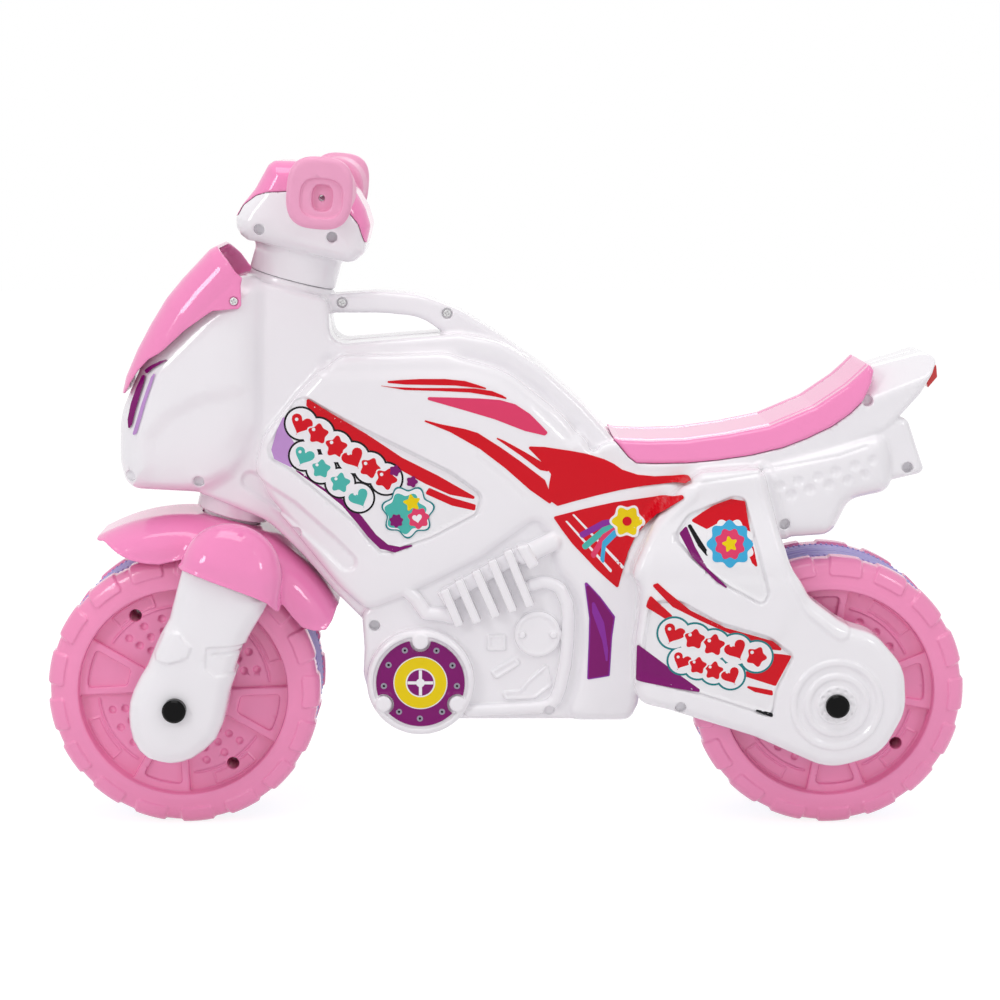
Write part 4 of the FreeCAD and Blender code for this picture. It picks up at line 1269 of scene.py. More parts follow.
TAIL = Pod([(123, 611, 4), (159, 637, 6), (211, 633, 30), (272, 637, 30), (334, 654, 30), (398, 683, 40),
    (459, 724, 40), (541, 789, 5), (563, 816, 5), (640, 852, 5), (656, 838, 5), (628, 756, 6), (602, 708, 6),
    (577, 663, 10), (445, 588, 30), (294, 546, 30), (123, 521, 5)], 50, 5, 3)
STRUT = Pod([(294, 569, 6), (384, 579, 5), (408, 424, 40), (425, 340, 30), (453, 263, 30), (408, 140, 10),
    (219, 205, 10), (191, 327, 7), (223, 440, 30), (258, 521, 30)], 72, 9, 8, flare=14, flare_shares=(520, 330))
SWINGARM = Pod([(207, 314, 7), (427, 321, 9), (457, 256, 20), (505, 198, 12), (559, 172, 15), (604, 88, 18),
    (608, -21, 18), (573, -131, 17), (493, -170, 20), (378, -86, 30), (247, -18, 20), (197, 1, 7), (193, 140, 20)],
    86, 9, 5)
MUFFLER = Pod([(378, 417, 8), (378, 579, 8), (573, 665, 8), (587, 608, 15), (588, 514, 6), (524, 492, 8),
    (502, 418, 8), (489, 403, 6), (420, 395, 8)], 58, 12, 3, 3, 25)
PIPE_END = Pod([(555, 655, 5), (606, 711, 4), (622, 634, 10), (637, 566, 4), (630, 556, 3), (589, 540, 5),
    (560, 545, 5)], 49, 6, 2)
HEAD_TUBES = ((28.5, 139.6, 156.0, 1.0, 1.0), (33.0, 153.6, 330.5, 1.5, 4.0))
FRAME_PODS = [SPINE, COWL, TANK, ENGINE, TAIL, STRUT, SWINGARM, MUFFLER, PIPE_END, HANDLE]
RECESS_FRONT_SHARES = [(-364, 624, 5), (-314, 759, 5), (-245, 695, 20), (-85, 566, 30), (-36, 508, 4), (-44, 456, 4),
    (-115, 395, 20), (-191, 353, 5), (-235, 437, 30), (-326, 563, 15), (-360, 595, 4)]
RECESS_STRUT_SHARES = [(249, 414, 4), (272, 469, 7), (342, 514, 8), (358, 508, 3), (376, 401, 30), (396, 279, 3),
    (386, 246, 3), (324, 301, 30), (276, 366, 15)]
RECESS_ARM_SHARES = [(205, 146, 20), (215, 263, 6), (260, 263, 10), (320, 208, 20), (396, 172, 10), (435, 124, 3),
    (410, 37, 10), (404, -34, 3), (294, 24, 30), (205, 63, 3)]
FRAME_SCREW_SHARES = [(133, 625), (547, 738), (423, 435), (611, 572), (264, -8), (67, -44), (-203, 171), (-322, 410),
    (-470, 537), (-574, 550)]
HANDLE_SCREW_SHARES = [(-252, 972), (-91, 945)]
VISOR_SCREW_SHARE = (-410, 985)
LIGHT_PIXELS = [(925, 377), (931, 369), (936.5, 364.5), (937.5, 377), (928, 388)]

# Relief of the frame, in pixels of the photograph
TAIL_CREASE_PIXELS = [(866, 400), (881, 394), (900, 386.5), (926, 376), (945, 368)]
COWL_SCOOP_PIXELS = [(147, 440, 12), (170, 414, 20), (205, 398, 12), (243, 392, 4), (252, 415, 12), (243, 447, 14),
    (215, 472, 12), (180, 480, 6), (148, 478, 6)]
HANDLE_GROOVE_PIXELS = [(330, 366), (400, 364), (468, 364), (500, 373), (536, 398), (570, 432)]
DOWN_TUBE_SLOT_PIXELS = [(249, 484), (290, 510), (330, 545), (347, 562)]
TANK_CREASE_PIXELS = [(478, 458), (500, 475), (524, 497)]
RAIL_CREASE_PIXELS = [(640, 486), (700, 479), (760, 470), (800, 463), (840, 455), (866, 446)]
STRUT_RIM_PIXELS = [(766, 474), (773, 505), (782, 540), (795, 575), (812, 605), (838, 627)]
STRUT_FRONT_PIXELS = [(690, 494), (660, 518), (640, 548), (632, 572)]
FIN_PIXELS = [((444, 590.4), (459.6, 626.7)), ((458.7, 580.7), (477.3, 623.7)), ((475.5, 571.3), (496.2, 617.8)),
    ((491.7, 561), (513.3, 612.5)), ((507.4, 551.2), (530.4, 607.2))]
FIN_STEP_PIXELS = ((441, 600), (522, 553))
COLLAR_PIXELS = [(516, 547.7, 1.5), (528, 544.7, 1.5), (539.8, 565.4, 1.5), (529.5, 570.7, 1.5)]
STUB_PIXELS = [(525, 556.5), (553, 543.3)]
HOSE_PIXELS = [(408, 592), (416, 599.3), (426.3, 614), (444, 615.5), (452, 618)]
PIPE_LOOP_PIXELS = [(532, 586), (541, 583.4), (548, 583.6), (556, 586.5), (561, 590.5), (567, 604), (568.5, 618),
    (568, 640), (565.5, 665), (560, 690), (556, 700), (550, 706), (540, 708.5), (505, 710.5), (470, 712)]
BOX_RIDGE_PIXELS = [[(487, 635, 1.5), (506, 635, 1.5), (506, 651, 1.5), (487, 651, 1.5)], [(490, 672, 2),
    (516, 657, 2), (521, 664, 2), (496, 680, 2)], [(501, 692, 2), (520, 690, 3), (527, 681, 3), (548, 663, 2),
    (552, 686, 4), (535, 699, 3), (505, 700, 2)]]
CLUTCH_PIXEL = (420.4, 683.3)
CLUTCH_BOSS_ANGLES = (90, 210, 330)
AXLE_STEPS = ((35.5, 1.6, 1.5, 1.0, 30.5, 1.8, 3.0), (25.0, 2.0, 2.0, 1.5, 20.0, 1.2, 2.5),
    (15.0, 2.4, 1.2, 1.0, 0.0, 0.0, 1.0))
COVER_PIXEL = (537.7, 634.6)
DIMPLE_PIXELS = [(781, 486), (799, 481.5), (819, 477), (837, 472), (855.5, 466), (874, 460.6), (792, 495.5),
    (810.5, 490), (830, 485.5), (848.5, 481), (866, 475.5)]


@dataclass
class Frame(Part):
    """The two half shells that make cowl, tank, handle, engine, swingarm, tail and silencer."""

    seat: "Seat"
    step: float = 1.0
    recess_depth: float = 1.8
    well_radius: float = 113.0
    well_half: float = 52.5
    clutch_radius: float = 41.6
    clutch_rise: float = 12.0
    boss_circle: float = 33.0
    stem_bore: float = 22.6
    screw_well: float = 4.1
    well_depth: float = 8.5
    screw_seat: float = 12.0
    handle_seat: float = 14.0
    form: Moulding = field(init=False)
    face: SideFace = field(init=False)

    @property
    def axle(self) -> Spot:
        """The rear axle's place."""
        return self.stance.wheelbase / 2, self.stance.axle_height

    @property
    def clutch(self) -> Spot:
        """Where the clutch cover's centre lies, seen from the side."""
        return tuple(self.pixel_place(CLUTCH_PIXEL, -58))

    def flared(self, pod: Pod) -> Callable[[Array], Array]:
        """How far out a pod's face lies at each height, where it widens downwards."""
        top, low = (self.stance.spot((0.0, share))[1] for share in pod.flare_shares)
        return lambda z: pod.half + pod.flare * smooth_step((top - z) / (top - low))

    def model(self) -> Moulding:
        """Builds the field of the whole frame.

        Returns:
            The field.
        """
        form = Moulding((-305, -93, 50), (337, 2.5, 440), self.step)
        self.form = form
        for pod in FRAME_PODS:
            half = self.flared(pod) if pod.flare else pod.half
            form.add(self.shape(pod.shares), half, pod.edge, pod.blend, pod.drop, pod.reach)
        form.lean(self.lens.on_plane(TAIL_CREASE_PIXELS, -48), 49.0, 1.5)
        for radius, low, high, edge, blend in HEAD_TUBES:
            form.post(self.stance, radius, low, high, edge, blend)
        self.relief()
        self.engine()
        self.rear_boss()
        self.openings()
        return form

    def relief(self) -> None:
        """Scoops, grooves, creases and label panels."""
        form = self.form
        for drawn, depth, soft in (
                (self.drawn(COWL_SCOOP_PIXELS, -54), 3.0, 14.0),
                (self.stroke(HANDLE_GROOVE_PIXELS, -45, 7.0), 2.6, 9.0),
                (self.stroke(DOWN_TUBE_SLOT_PIXELS, -54, 7.0), 2.6, 4.0),
                (self.stroke(TANK_CREASE_PIXELS, -54, 1.0), 0.8, 5.0),
                (self.stroke(RAIL_CREASE_PIXELS, -52, 0.6), 1.4, 3.0),
                (self.stroke(STRUT_RIM_PIXELS, -72, 7.0), -1.6, 4.0),
                (self.stroke(STRUT_FRONT_PIXELS, -72, 6.0), -1.4, 5.0)):
            form.sink(drawn, depth, soft)
        for shares in (RECESS_FRONT_SHARES, RECESS_STRUT_SHARES, RECESS_ARM_SHARES):
            form.sink(self.shape(shares), self.recess_depth, 1.4)
        for x, z in self.lens.on_plane(DIMPLE_PIXELS, -60):
            form.dent((x, -MUFFLER.half - 4.6, z), 6.5)

    def bar(self, ends: Points, y: float, half: float) -> Shape:
        """A straight bar with square ends, drawn in pixels on a plane.

        Args:
            ends: Its two ends.
            y: The plane.
            half: Half its width.

        Returns:
            The bar.
        """
        a, b = self.lens.on_plane(ends, y)
        across = np.array([a[1] - b[1], b[0] - a[0]]) * half / np.linalg.norm(b - a)
        return Shape(rounded([(*corner, 0.8) for corner in (a + across, b + across, b - across, a - across)]))

    def engine(self) -> None:
        """Clutch cover, fins, hose, pipe loop and small covers on the engine block."""
        form, face = self.form, ENGINE.half
        outer = face + self.clutch_rise
        form.add(Shape.disc(self.clutch, self.clutch_radius), outer, 4.0, 2.0)
        form.cut(Shape.disc(self.clutch, self.clutch_radius - 5), outer - 1.6, 0.8, 0.8)
        for angle in CLUTCH_BOSS_ANGLES:
            form.add(Shape.disc(on_circle(self.clutch, self.boss_circle, angle), 6.5), outer + 1.4, 2.0, 0.8)
        for drawn, rise, edge, blend in (
                (self.bar(FIN_STEP_PIXELS, -50, 6.0), 4.5, 2.0, 1.5),
                *((self.bar(ends, -57, 3.4), 11.5, 1.5, 0.8) for ends in FIN_PIXELS),
                (self.stroke(HOSE_PIXELS, -50, 5.4), 7, 5.0, 1.5), (self.stroke(STUB_PIXELS, -57, 7.5), 11, 6.5, 2.0),
                (self.drawn(COLLAR_PIXELS, -60), 14, 2.5, 0.8), (self.stroke(PIPE_LOOP_PIXELS, -52, 4.9), 7, 4.6, 1.2)):
            form.add(drawn, face + rise, edge, blend)
        cover = self.pixel_place(COVER_PIXEL, -50)
        form.add(Shape.disc(cover, 18.0), face + 5, 2.5, 1.0)
        form.sink(Shape.disc(cover, 14.5), 0.8, 1.5)
        for side in (-12.1, 12.1):
            form.add(Shape.disc((cover[0] + side, cover[1]), 2.8), face + 6.8, 1.2, 0.8)
        for ridge in BOX_RIDGE_PIXELS:
            form.add(self.drawn(ridge, -48), face + 2.2, 1.4, 0.8)
            form.sink(Shape(grown(self.lens.outline(ridge, -48), -2.2)), 1.0, 1.2)

    def rear_boss(self) -> None:
        """The stepped round boss over the rear axle's end, with a ring of small dents."""
        form, face = self.form, SWINGARM.half
        for radius, rise, edge, blend, floor, depth, soft in AXLE_STEPS:
            form.add(Shape.disc(self.axle, radius), face + rise, edge, blend)
            form.sink(Shape.disc(self.axle, floor), depth, soft)
        for angle in range(0, 360, 30):
            x, z = on_circle(self.axle, 12.2, angle)
            form.dent((x, -face - 3.0, z), 1.6)

    def openings(self) -> None:
        """Wheel well, light's seat, the stem's bore and the saddle's room."""
        form = self.form
        form.cut(Shape.disc(self.axle, self.well_radius), -1.0, 3.0, 1.5, self.well_half)
        form.cut(Shape(self.lens.on_plane(LIGHT_PIXELS, -22)), -1.0, 0.2, 0.3, 22.3)
        e, s = self.stance.head_place(form.along, form.up)
        form.carve(np.maximum(np.hypot(e, form.side) - self.stem_bore, 100.0 - s), 0.2)
        where, flat = form.patch(self.seat.room(), 6)
        form.carve(flat - self.seat.gap, 0.4, where)

    def screw_wells(self) -> None:
        """The wells of the left half. The side's screws lie below their floors."""
        for share in FRAME_SCREW_SHARES:
            spot = self.stance.spot(share)
            floor = max(-self.face.at(np.array([spot]))[0] - self.well_depth, self.screw_seat)
            self.form.cut(Shape.disc(spot, self.screw_well), floor, 1.2, 0.8)
        for share in HANDLE_SCREW_SHARES:
            self.form.cut(Shape.disc(self.stance.spot(share), self.screw_well), self.handle_seat, 0.3, 0.8)

    def build(self) -> None:
        """Makes both half shells, their screws and the rear light."""
        form = self.model()
        form.half()
        dress(form.skin().mirrored().to_object("shell_right"), WHITE, self.body, "frame_right")
        self.face = SideFace(form)
        self.screw_wells()
        dress(form.skin().to_object("shell_left"), WHITE, self.body, "frame_left")
        spots = [(*self.stance.spot(share), self.screw_seat) for share in FRAME_SCREW_SHARES]
        spots += [(*self.stance.spot(share), self.handle_seat) for share in HANDLE_SCREW_SHARES]
        self.screws.build("shell_screws", [(x, -seat, z, LEFT) for x, z, seat in spots],
                          self.screw_seat + self.screws.grip, self.body, "frame_screws")
        light = Moulding((315, -24, 335), (336, 24, 372), 0.6)
        light.add(Shape(self.lens.on_plane(LIGHT_PIXELS, -22)), 22.0, 0.8)
        dress(light.skin(0.01).to_object("rear_light"), LENS, self.body, "tail_light")


# Seat and windshield

SEAT_TOP_PIXELS = [(607, 431), (613, 438), (621, 440.5), (650, 441.5), (687, 440.3), (729, 434.5), (771, 426),
    (816, 407), (848, 385.5), (862, 373), (868, 367)]
SEAT_LOW_PIXELS = [(872, 366), (876, 372), (873, 384), (864, 401.6), (850, 415), (832, 427.4), (808, 439),
    (783.5, 448.5), (752, 456), (719, 461), (687, 464), (654.5, 464.5), (637, 464), (629, 458)]
VISOR_SIDE_PIXELS = [(110, 392, 0), (110, 300, 0), (190, 228, 0), (221.7, 243, 0), (229.5, 259.3, -40),
    (236.1, 271.5, -50), (242.1, 278.1, -57), (240.5, 285.9, -57), (241.2, 305.8, -57), (238.3, 309.1, -57),
    (211.8, 311.3, -57), (205.1, 315.8, -57), (185.2, 330.1, -57), (163.1, 351.2, -57), (147.6, 360, -57),
    (138.8, 370, -45), (133.2, 381, -30), (130.4, 389.4, -15)]
VISOR_FRONT_PIXELS = [(236, 230, 2), (221.7, 243, 4), (214, 247.2, 6), (202.9, 259.3, 8), (187.4, 275.9, 12),
    (171.9, 294.7, 20), (156.5, 320.2, 20), (143.2, 345.6, 20), (132.1, 372.2, 20), (128.8, 387.7, 8), (126, 410, 2),
    (300, 410, 2), (300, 230, 2)]
VISOR_CREASE_PIXELS = [(233, 284), (209, 306), (186, 326), (163, 351)]


@dataclass
class Seat(Part):
    """The moulded saddle on the frame's rail."""

    half: float = 53.5
    top_half: float = 46.0
    flank: float = 26.0
    edge: float = 3.5
    crease_inset: float = 12.0
    crease_width: float = 3.6
    crease_depth: float = 0.7
    gap: float = 0.3

    def outlines(self) -> tuple[Array, Array]:
        """The line between top and flank, and the lower edge, seen from the side."""
        return (self.lens.on_plane(SEAT_TOP_PIXELS, -self.top_half),
                self.lens.on_plane(SEAT_LOW_PIXELS, -self.half))

    def room(self) -> Shape:
        """The room that the frame leaves to the saddle, up to well above it."""
        top, low = self.outlines()
        return Shape(np.concatenate([top[:1], top[:1] + (8, 40), top[-1:] + (-8, 40), top[-1:], low]))

    def field(self, form: Moulding) -> tuple[tuple, Array]:
        """The saddle's distances in a field's grid.

        Args:
            form: The field that gives the grid.

        Returns:
            The part of the grid, and the distances there.
        """
        top, low = self.outlines()
        where, flat = form.patch(Shape(np.concatenate([top, low])), 12)
        x, z = form.x[where[0]], form.z[where[2]]
        depth = (np.interp(x, top[:, 0], top[:, 1])[:, None] - z[None, :])[:, None, :]
        width = self.top_half + (self.half - self.top_half) * np.clip(depth / self.flank, 0, 1)
        return where, rim(flat, form.side - width, self.edge)

    def build(self) -> None:
        """Makes the saddle, with a flat top, sloped flanks and creases along its top."""
        form = Moulding((60, -56, 270), (300, 56, 372), 0.9)
        where, saddle = self.field(form)
        form.merge(saddle, 0, where)
        top = self.outlines()[0]
        where, flat = form.patch(Shape.line(top, 0.0), 8)
        groove = np.hypot(flat, form.side - self.top_half + self.crease_inset) / self.crease_width
        form.values[where] += self.crease_depth * smooth_step(1 - groove)
        dress(form.skin(0.01).to_object("saddle"), PINK, self.body, "seat")


@dataclass
class Windshield(Part):
    """The pink wrap-round screen on the cowl."""

    thickness: float = 3.0
    edge: float = 25.0
    gap: float = 0.3

    def build(self) -> None:
        """Makes the screen and its two screws."""
        half = COWL.half + self.gap + self.thickness
        form = Moulding((-302, -60, 325), (-190, 60, 456), 0.9)
        block = self.drawn(VISOR_FRONT_PIXELS, 0.0)
        form.add(block, half, self.edge)
        where, flat = form.patch(block, 10)
        inner = form.slab(flat + self.thickness, half - self.thickness, self.edge - self.thickness, 0, 1, 0)
        form.carve(inner, 0.6, where)
        form.carve(-form.over(Shape(self.lens.at_depths(VISOR_SIDE_PIXELS))), 1.0)
        form.sink(self.stroke(VISOR_CREASE_PIXELS, -50, 0.4), 0.7, 5.0)
        x, z = self.stance.spot(VISOR_SCREW_SHARE)
        form.dent((x, -half - 1.0, z), 3.6)
        dress(form.skin(0.01).to_object("windshield"), PINK, self.body, "visor")
        self.screws.build("windshield_screws", [(x, -half + 0.8, z, LEFT), (x, half - 0.8, z, RIGHT)],
                          self.screws.grip, self.body, "visor_screws")


# Steering head, in its own frame: behind the axis, across, and up the axis

LEG_PIXELS = [(183, 570), (179, 585), (174, 604), (170, 620), (161, 636), (154, 652), (148, 667), (141, 678),
    (134.5, 691), (130.5, 703), (129.5, 715), (130.5, 728), (133.5, 740), (140, 751), (149, 759), (159, 763),
    (170, 763.5), (181, 762), (191, 758.5), (203, 750.5), (214.5, 739.5), (221.5, 724), (225, 708), (228, 692),
    (233.5, 677), (239, 659), (246, 639), (254, 625), (262, 612), (268, 600)]
LEG_PAD_PIXELS = [(163, 636), (172, 632), (180, 634), (187, 643), (191, 648), (188, 657), (181, 661), (168, 664),
    (155, 661), (154, 655)]
LEG_PANEL_PIXELS = [(206, 649), (209, 648), (243, 647), (240, 658), (235, 676), (215, 677), (205, 669)]
LEG_SLOT_PIXELS = [(213, 656), (239, 654)]
BULGE_PLACES = [(-24, 70, 1), (-22.5, 100, 14), (-17, 120, 14), (-8, 128.0, 12), (38, 129.0, 14), (50, 118, 14),
    (55, 98, 14), (61, 70, 1)]
FENDER_RIM_PIXELS = [(104.2, 533, 0), (107, 538, -25), (112, 546, -40), (119, 554, -50), (131, 560.8, -54),
    (145, 564, -54), (159, 565.2, -55), (170, 564.2, -62), (179, 565.5, -80), (188, 572, -98), (200, 577.5, -104),
    (214.6, 583.3, -105), (238.9, 592, -105), (256, 598.5, -104), (267, 602.4, -98), (280.6, 611, -80),
    (292, 620, -62), (302, 627.5, -54), (314, 631.2, -54), (326, 630.2, -52), (332.6, 619, -40), (336, 609, -28),
    (338, 603, -20)]
BAR_BODY_PIXELS = [(235.4, 217, 3), (235.4, 227, 6), (240, 235, 5), (247, 240.5, 5), (259, 242.5, 2), (346, 263, 3),
    (354, 262, 6), (365, 253, 6), (366, 243, 3), (369.8, 226, 8), (364.7, 209, 8), (351.3, 185.4, 10), (340, 168, 8),
    (300, 162, 10), (280.6, 161.3, 5), (273.8, 161.3, 4), (268, 165.2, 4), (255, 189, 8), (241.8, 205.6, 8)]
COVER_ARCH_PIXELS = [(225, 221, 1), (236, 216.5, 2), (241.8, 205.6, 5), (255.3, 195.5, 6), (267.1, 192.1, 6),
    (283.1, 191.3, 6), (300, 191, 8), (335, 198, 10), (348.7, 212.3, 8), (358, 224, 8), (363.9, 242.6, 6),
    (367.3, 245.5, 2), (380, 250, 1), (420, 100, 0), (180, 60, 0)]
BAR_SCREW_PIXELS = [(259.5, 229.2, -44), (332.4, 236.8, -44)]


@dataclass
class SteeringHead(Part):
    """Fork, fender, handlebar and grips."""

    leg_inner: float = 52.0
    leg_outer: float = 101.0
    leg_edge: float = 11.0
    leg_wall: float = 5.0
    stem_radius: float = 22.0
    stem_span: tuple[float, float] = (114.2, 357.2)
    crown_top: float = 127.0
    fender_outer: float = 137.5
    fender_half: float = 54.0
    fender_flat: float = 22.0
    fender_drop: float = 16.0
    fender_wall: float = 3.2
    fender_gap: float = 0.6
    fender_bore: float = 23.0
    dome_place: Spot = (14.0, 83.0, 113.0)
    dome_reach: Spot = (37.0, 23.0, 34.0)
    bar_face: float = 44.0
    bar_half: float = 52.0
    bar_edge: float = 12.0
    cover_wall: float = 2.6
    neck_low: float = 330.8
    neck_top: float = 351.3
    neck_radius: float = 33.8
    grip_offset: float = 11.5
    grip_rise: float = 54.0
    grip_start: float = 60.0
    grip_end: float = 148.0
    grip_radius: float = 22.5
    grip_bore: float = 8.8
    grip_floor: float = 138.3
    sleeve_half: float = 39.0
    stub_radius: float = 8.5
    stub_end: float = 57.0
    screw_radius: float = 4.0
    screw_seat: float = 12.0
    flange_half: Spot = (23.6, 25.6)
    flange_turn: float = math.radians(10.0)
    body = "steering"

    def traced(self, pixels: Rows) -> Array:
        """Places in the head's frame, from pixels with the plane that each lies on."""
        x, z = self.lens.at_depths(pixels).T
        return np.stack(self.stance.head_place(x, z), 1)

    def outline(self, pixels: Rows, y: float) -> Shape:
        """A region of the head's frame, from pixels with a corner radius each."""
        places = self.traced([(u, v, y) for u, v, _ in pixels])
        return Shape(rounded([(*place, row[2]) for place, row in zip(places, pixels)]))

    def put(self, form: Moulding, name: str, finish: Finish, node: str, mirror: bool = False,
            coarseness: float = 0.015) -> bpy.types.Object:
        """Meshes a field of the head's frame and puts it on the bike.

        Args:
            form: The field.
            name: The piece's name.
            finish: Its finish.
            node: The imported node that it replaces.
            mirror: Whether it goes to the right.
            coarseness: How much the mesh merges.

        Returns:
            The piece.
        """
        skin = form.skin(coarseness)
        skin = skin.mirrored() if mirror else skin
        return dress(skin.on_head(self.stance).to_object(name), finish, self.body, node)

    def fork(self) -> None:
        """Makes both fork halves."""
        form = Moulding((-44, -104, -44), (60, 2, 362))
        drawn = grown(self.on_leg(LEG_PIXELS, self.leg_edge), 1.0)
        crown = np.array([(30, 112), (36, 122), (32, self.crown_top), (-14, self.crown_top), (-17, 112)])
        leg = Shape(np.concatenate([drawn, crown]))
        form.add(leg, self.leg_outer, self.leg_edge, 0, 5.0, 22.0, self.leg_inner)
        form.cut(Shape(grown(leg.points, -self.leg_wall)), 0.0, 2.0, 0.5, self.leg_outer - 22)
        flat = Shape(rounded([(-28, 113, 1), (28, 113, 1), (28, 127, 1), (-28, 127, 1)]))
        form.add(flat, self.leg_inner + 3, 1.0, 1.0)
        top = form.z > self.crown_top - 19
        under = self.cover(form) + self.fender_wall + self.fender_gap
        form.values[:, :, top] = np.maximum(form.values, under)[:, :, top].astype(np.float32)
        low, high = self.stem_span
        stem = np.abs(form.up - (low + high) / 2) - (high - low) / 2
        form.merge(np.maximum(np.hypot(form.along, form.side) - self.stem_radius, stem), 1.0)
        form.sink(Shape(self.on_leg(LEG_PAD_PIXELS)), -1.8, 2.2)
        form.sink(Shape(self.on_leg(LEG_PANEL_PIXELS)), 1.9, 1.6)
        form.sink(Shape.line(self.on_leg(LEG_SLOT_PIXELS), 1.2), 1.4, 1.6)
        form.half()
        self.put(form, "fork_leg_left", WHITE, "fork_left")
        self.put(form, "fork_leg_right", WHITE, "fork_right", True)

    def on_leg(self, pixels: Points, inset: float = 0.0) -> Array:
        """Places on the leg's face, or short of it by an inset."""
        return self.traced([(u, v, inset - self.leg_outer) for u, v in pixels])

    def cover(self, form: Moulding) -> Array:
        """Distances from the mudguard's outside, with a dome over each fork shoulder, in a field's grid.

        Args:
            form: The field that gives the grid.

        Returns:
            The distances.
        """
        radius = np.hypot(form.along, form.up)
        slant = np.clip((form.side - self.fender_flat) / (self.fender_half - self.fender_flat), 0, 1.2)
        crown = radius - self.fender_outer + self.fender_drop * slant ** 2
        outer = rim(crown, form.side - self.fender_half, 7)
        swell = form.slab(form.over(Shape(rounded(BULGE_PLACES))), self.leg_outer + 4.5, 15.0, 2.0, 26.0, 0)
        (e, y, z), (a, b, c) = self.dome_place, self.dome_reach
        x, height = (form.along - e) / a, (form.up - z) / c
        dome = (np.sqrt(x * x + height * height + ((form.side - y) / b) ** 2) - 1) * min(a, b, c)
        return soft_min(outer, soft_min(swell, dome, 8.0), 12.0).astype(np.float32)

    def fender(self) -> None:
        """Makes the mudguard."""
        form = Moulding((-142, -108, 30), (142, 108, 152))
        shell = self.cover(form)
        hem = self.traced(FENDER_RIM_PIXELS)
        form.values = shell
        form.sink(Shape.line(hem, 2.0), -0.9, 2.5)
        form.values = np.maximum(form.values, -(shell + self.fender_wall))
        below = np.concatenate([[(-128, 118)], hem, [(131, 118), (200, 118), (200, -100), (-200, -100), (-200, 118)]])
        form.carve(form.over(Shape(below)), 1.2)
        form.carve(np.hypot(form.along, form.side) - self.fender_bore, 0.5)
        self.put(form, "mudguard", PINK, "front_fender")

    def handlebar(self) -> None:
        """Makes the white body halves, the pink cover and their screws."""
        outline = self.outline(BAR_BODY_PIXELS, -self.bar_face)
        form = Moulding((-58, -58, 324), (60, 58, 424), 0.9)
        arch = form.over(self.outline(COVER_ARCH_PIXELS, -self.bar_face - 6))
        form.add(outline, self.bar_half, self.bar_edge, 0, 5.0, 24.0)
        cover = form.copy()
        cover.values -= np.float32(0.5)
        cover.carve(-arch, 1.0)
        cover.carve(form.values + self.cover_wall, 0.0)
        self.put(cover, "bar_cover", PINK, "handlebar_cover")
        low, high = self.neck_low, self.neck_top + 4
        neck = np.abs(form.up - (low + high) / 2) - (high - low) / 2
        form.merge(rim(np.hypot(form.along, form.side) - self.neck_radius, neck, 1), 7.0)
        form.carve(arch - 0.3, 0.5)
        form.add(Shape.disc(self.grip_place, self.stub_radius), self.stub_end, 0.5, 2.0)
        form.half()
        self.put(form, "bar_body_right", WHITE, "handlebar_right", True)
        spots = self.traced(BAR_SCREW_PIXELS)
        for spot in spots:
            form.cut(Shape.disc(spot, self.screw_radius), self.bar_face - 2.0, 1.5, 0.8)
        self.put(form, "bar_body_left", WHITE, "handlebar_left")
        self.fasten("bar_screws", spots, "handlebar_screws")

    def fasten(self, name: str, spots: Points, node: str) -> None:
        """Puts screws into the halves' left side, at places of the head's frame."""
        self.screws.build(name, [(e, -self.screw_seat, s, LEFT) for e, s in spots],
                          self.screw_seat + self.screws.grip, self.body, node, True)

    @property
    def grip_place(self) -> Spot:
        """Where the grips' axis lies in the head's frame."""
        return self.grip_offset, self.neck_top + self.grip_rise

    def grips(self) -> None:
        """Makes both grips and the screws in their ends."""
        e, s = self.grip_place
        form = Moulding((e - 28, -150, s - 28), (e + 28, -8, s + 28), 0.8)
        x, z, side = form.along - e, form.up - s, form.side
        cos, sin = math.cos(self.flange_turn), math.sin(self.flange_turn)
        slant, tall = x * cos + z * sin, z * cos - x * sin

        def square(half: Spot, shift: Spot = (0.0, 0.0), power: float = 2.9) -> Array:
            """Distance from a rounded square about the grip's axis."""
            a, b = np.abs(slant - shift[0]) / half[0], np.abs(tall - shift[1]) / half[1]
            return ((a ** power + b ** power) ** (1 / power) - 1).astype(np.float32) * min(half)

        rod = np.hypot(x, z)
        ribs = 0.5 * np.cos((side - self.grip_start) * (2 * math.pi / 11)) * (side < self.grip_end - 18)
        middle, end = (self.grip_start + self.grip_end - 10) / 2, self.grip_end - 6
        sleeve = rim(rod - self.grip_radius + ribs * 0.6, np.abs(side - middle) - self.sleeve_half, 3)
        flange = rim(square(self.flange_half), np.abs(side - end) - 6, 4)
        form.values = np.maximum(soft_min(sleeve, flange, 5.0), side - self.grip_end).astype(np.float32)
        for half, shift, depth in (((15.2, 14.0), (1.7, -3.6), 2.4), ((7.4, 9.4), (2.2, -3.2), 7.5)):
            form.carve(rim(square(half, shift), self.grip_end - depth - side, 1), 0.8)
        form.carve(np.maximum(np.hypot(x - 2.2, z + 3.2) - 2.3, self.grip_end - 11.0 - side), 0.2)
        form.carve(np.maximum(rod - self.grip_bore, side - self.grip_floor), 0.2)
        self.put(form, "hand_grip_left", GRIP, "grip_left")
        self.put(form, "hand_grip_right", GRIP, "grip_right", True)
        seat = self.grip_end - 11.5
        self.screws.build("grip_end_screws", [(e, -seat, s, LEFT), (e, seat, s, RIGHT)], 20.0, self.body,
                          "grip_screws", True)

    def build(self) -> None:
        """Makes all that turns with the handlebar."""
        self.fork()
        self.fender()
        self.handlebar()
        self.grips()
        self.fasten("crown_screws", [(24.4, 120.0), (-24.4, 120.0)], "fork_screws")


# Wheels

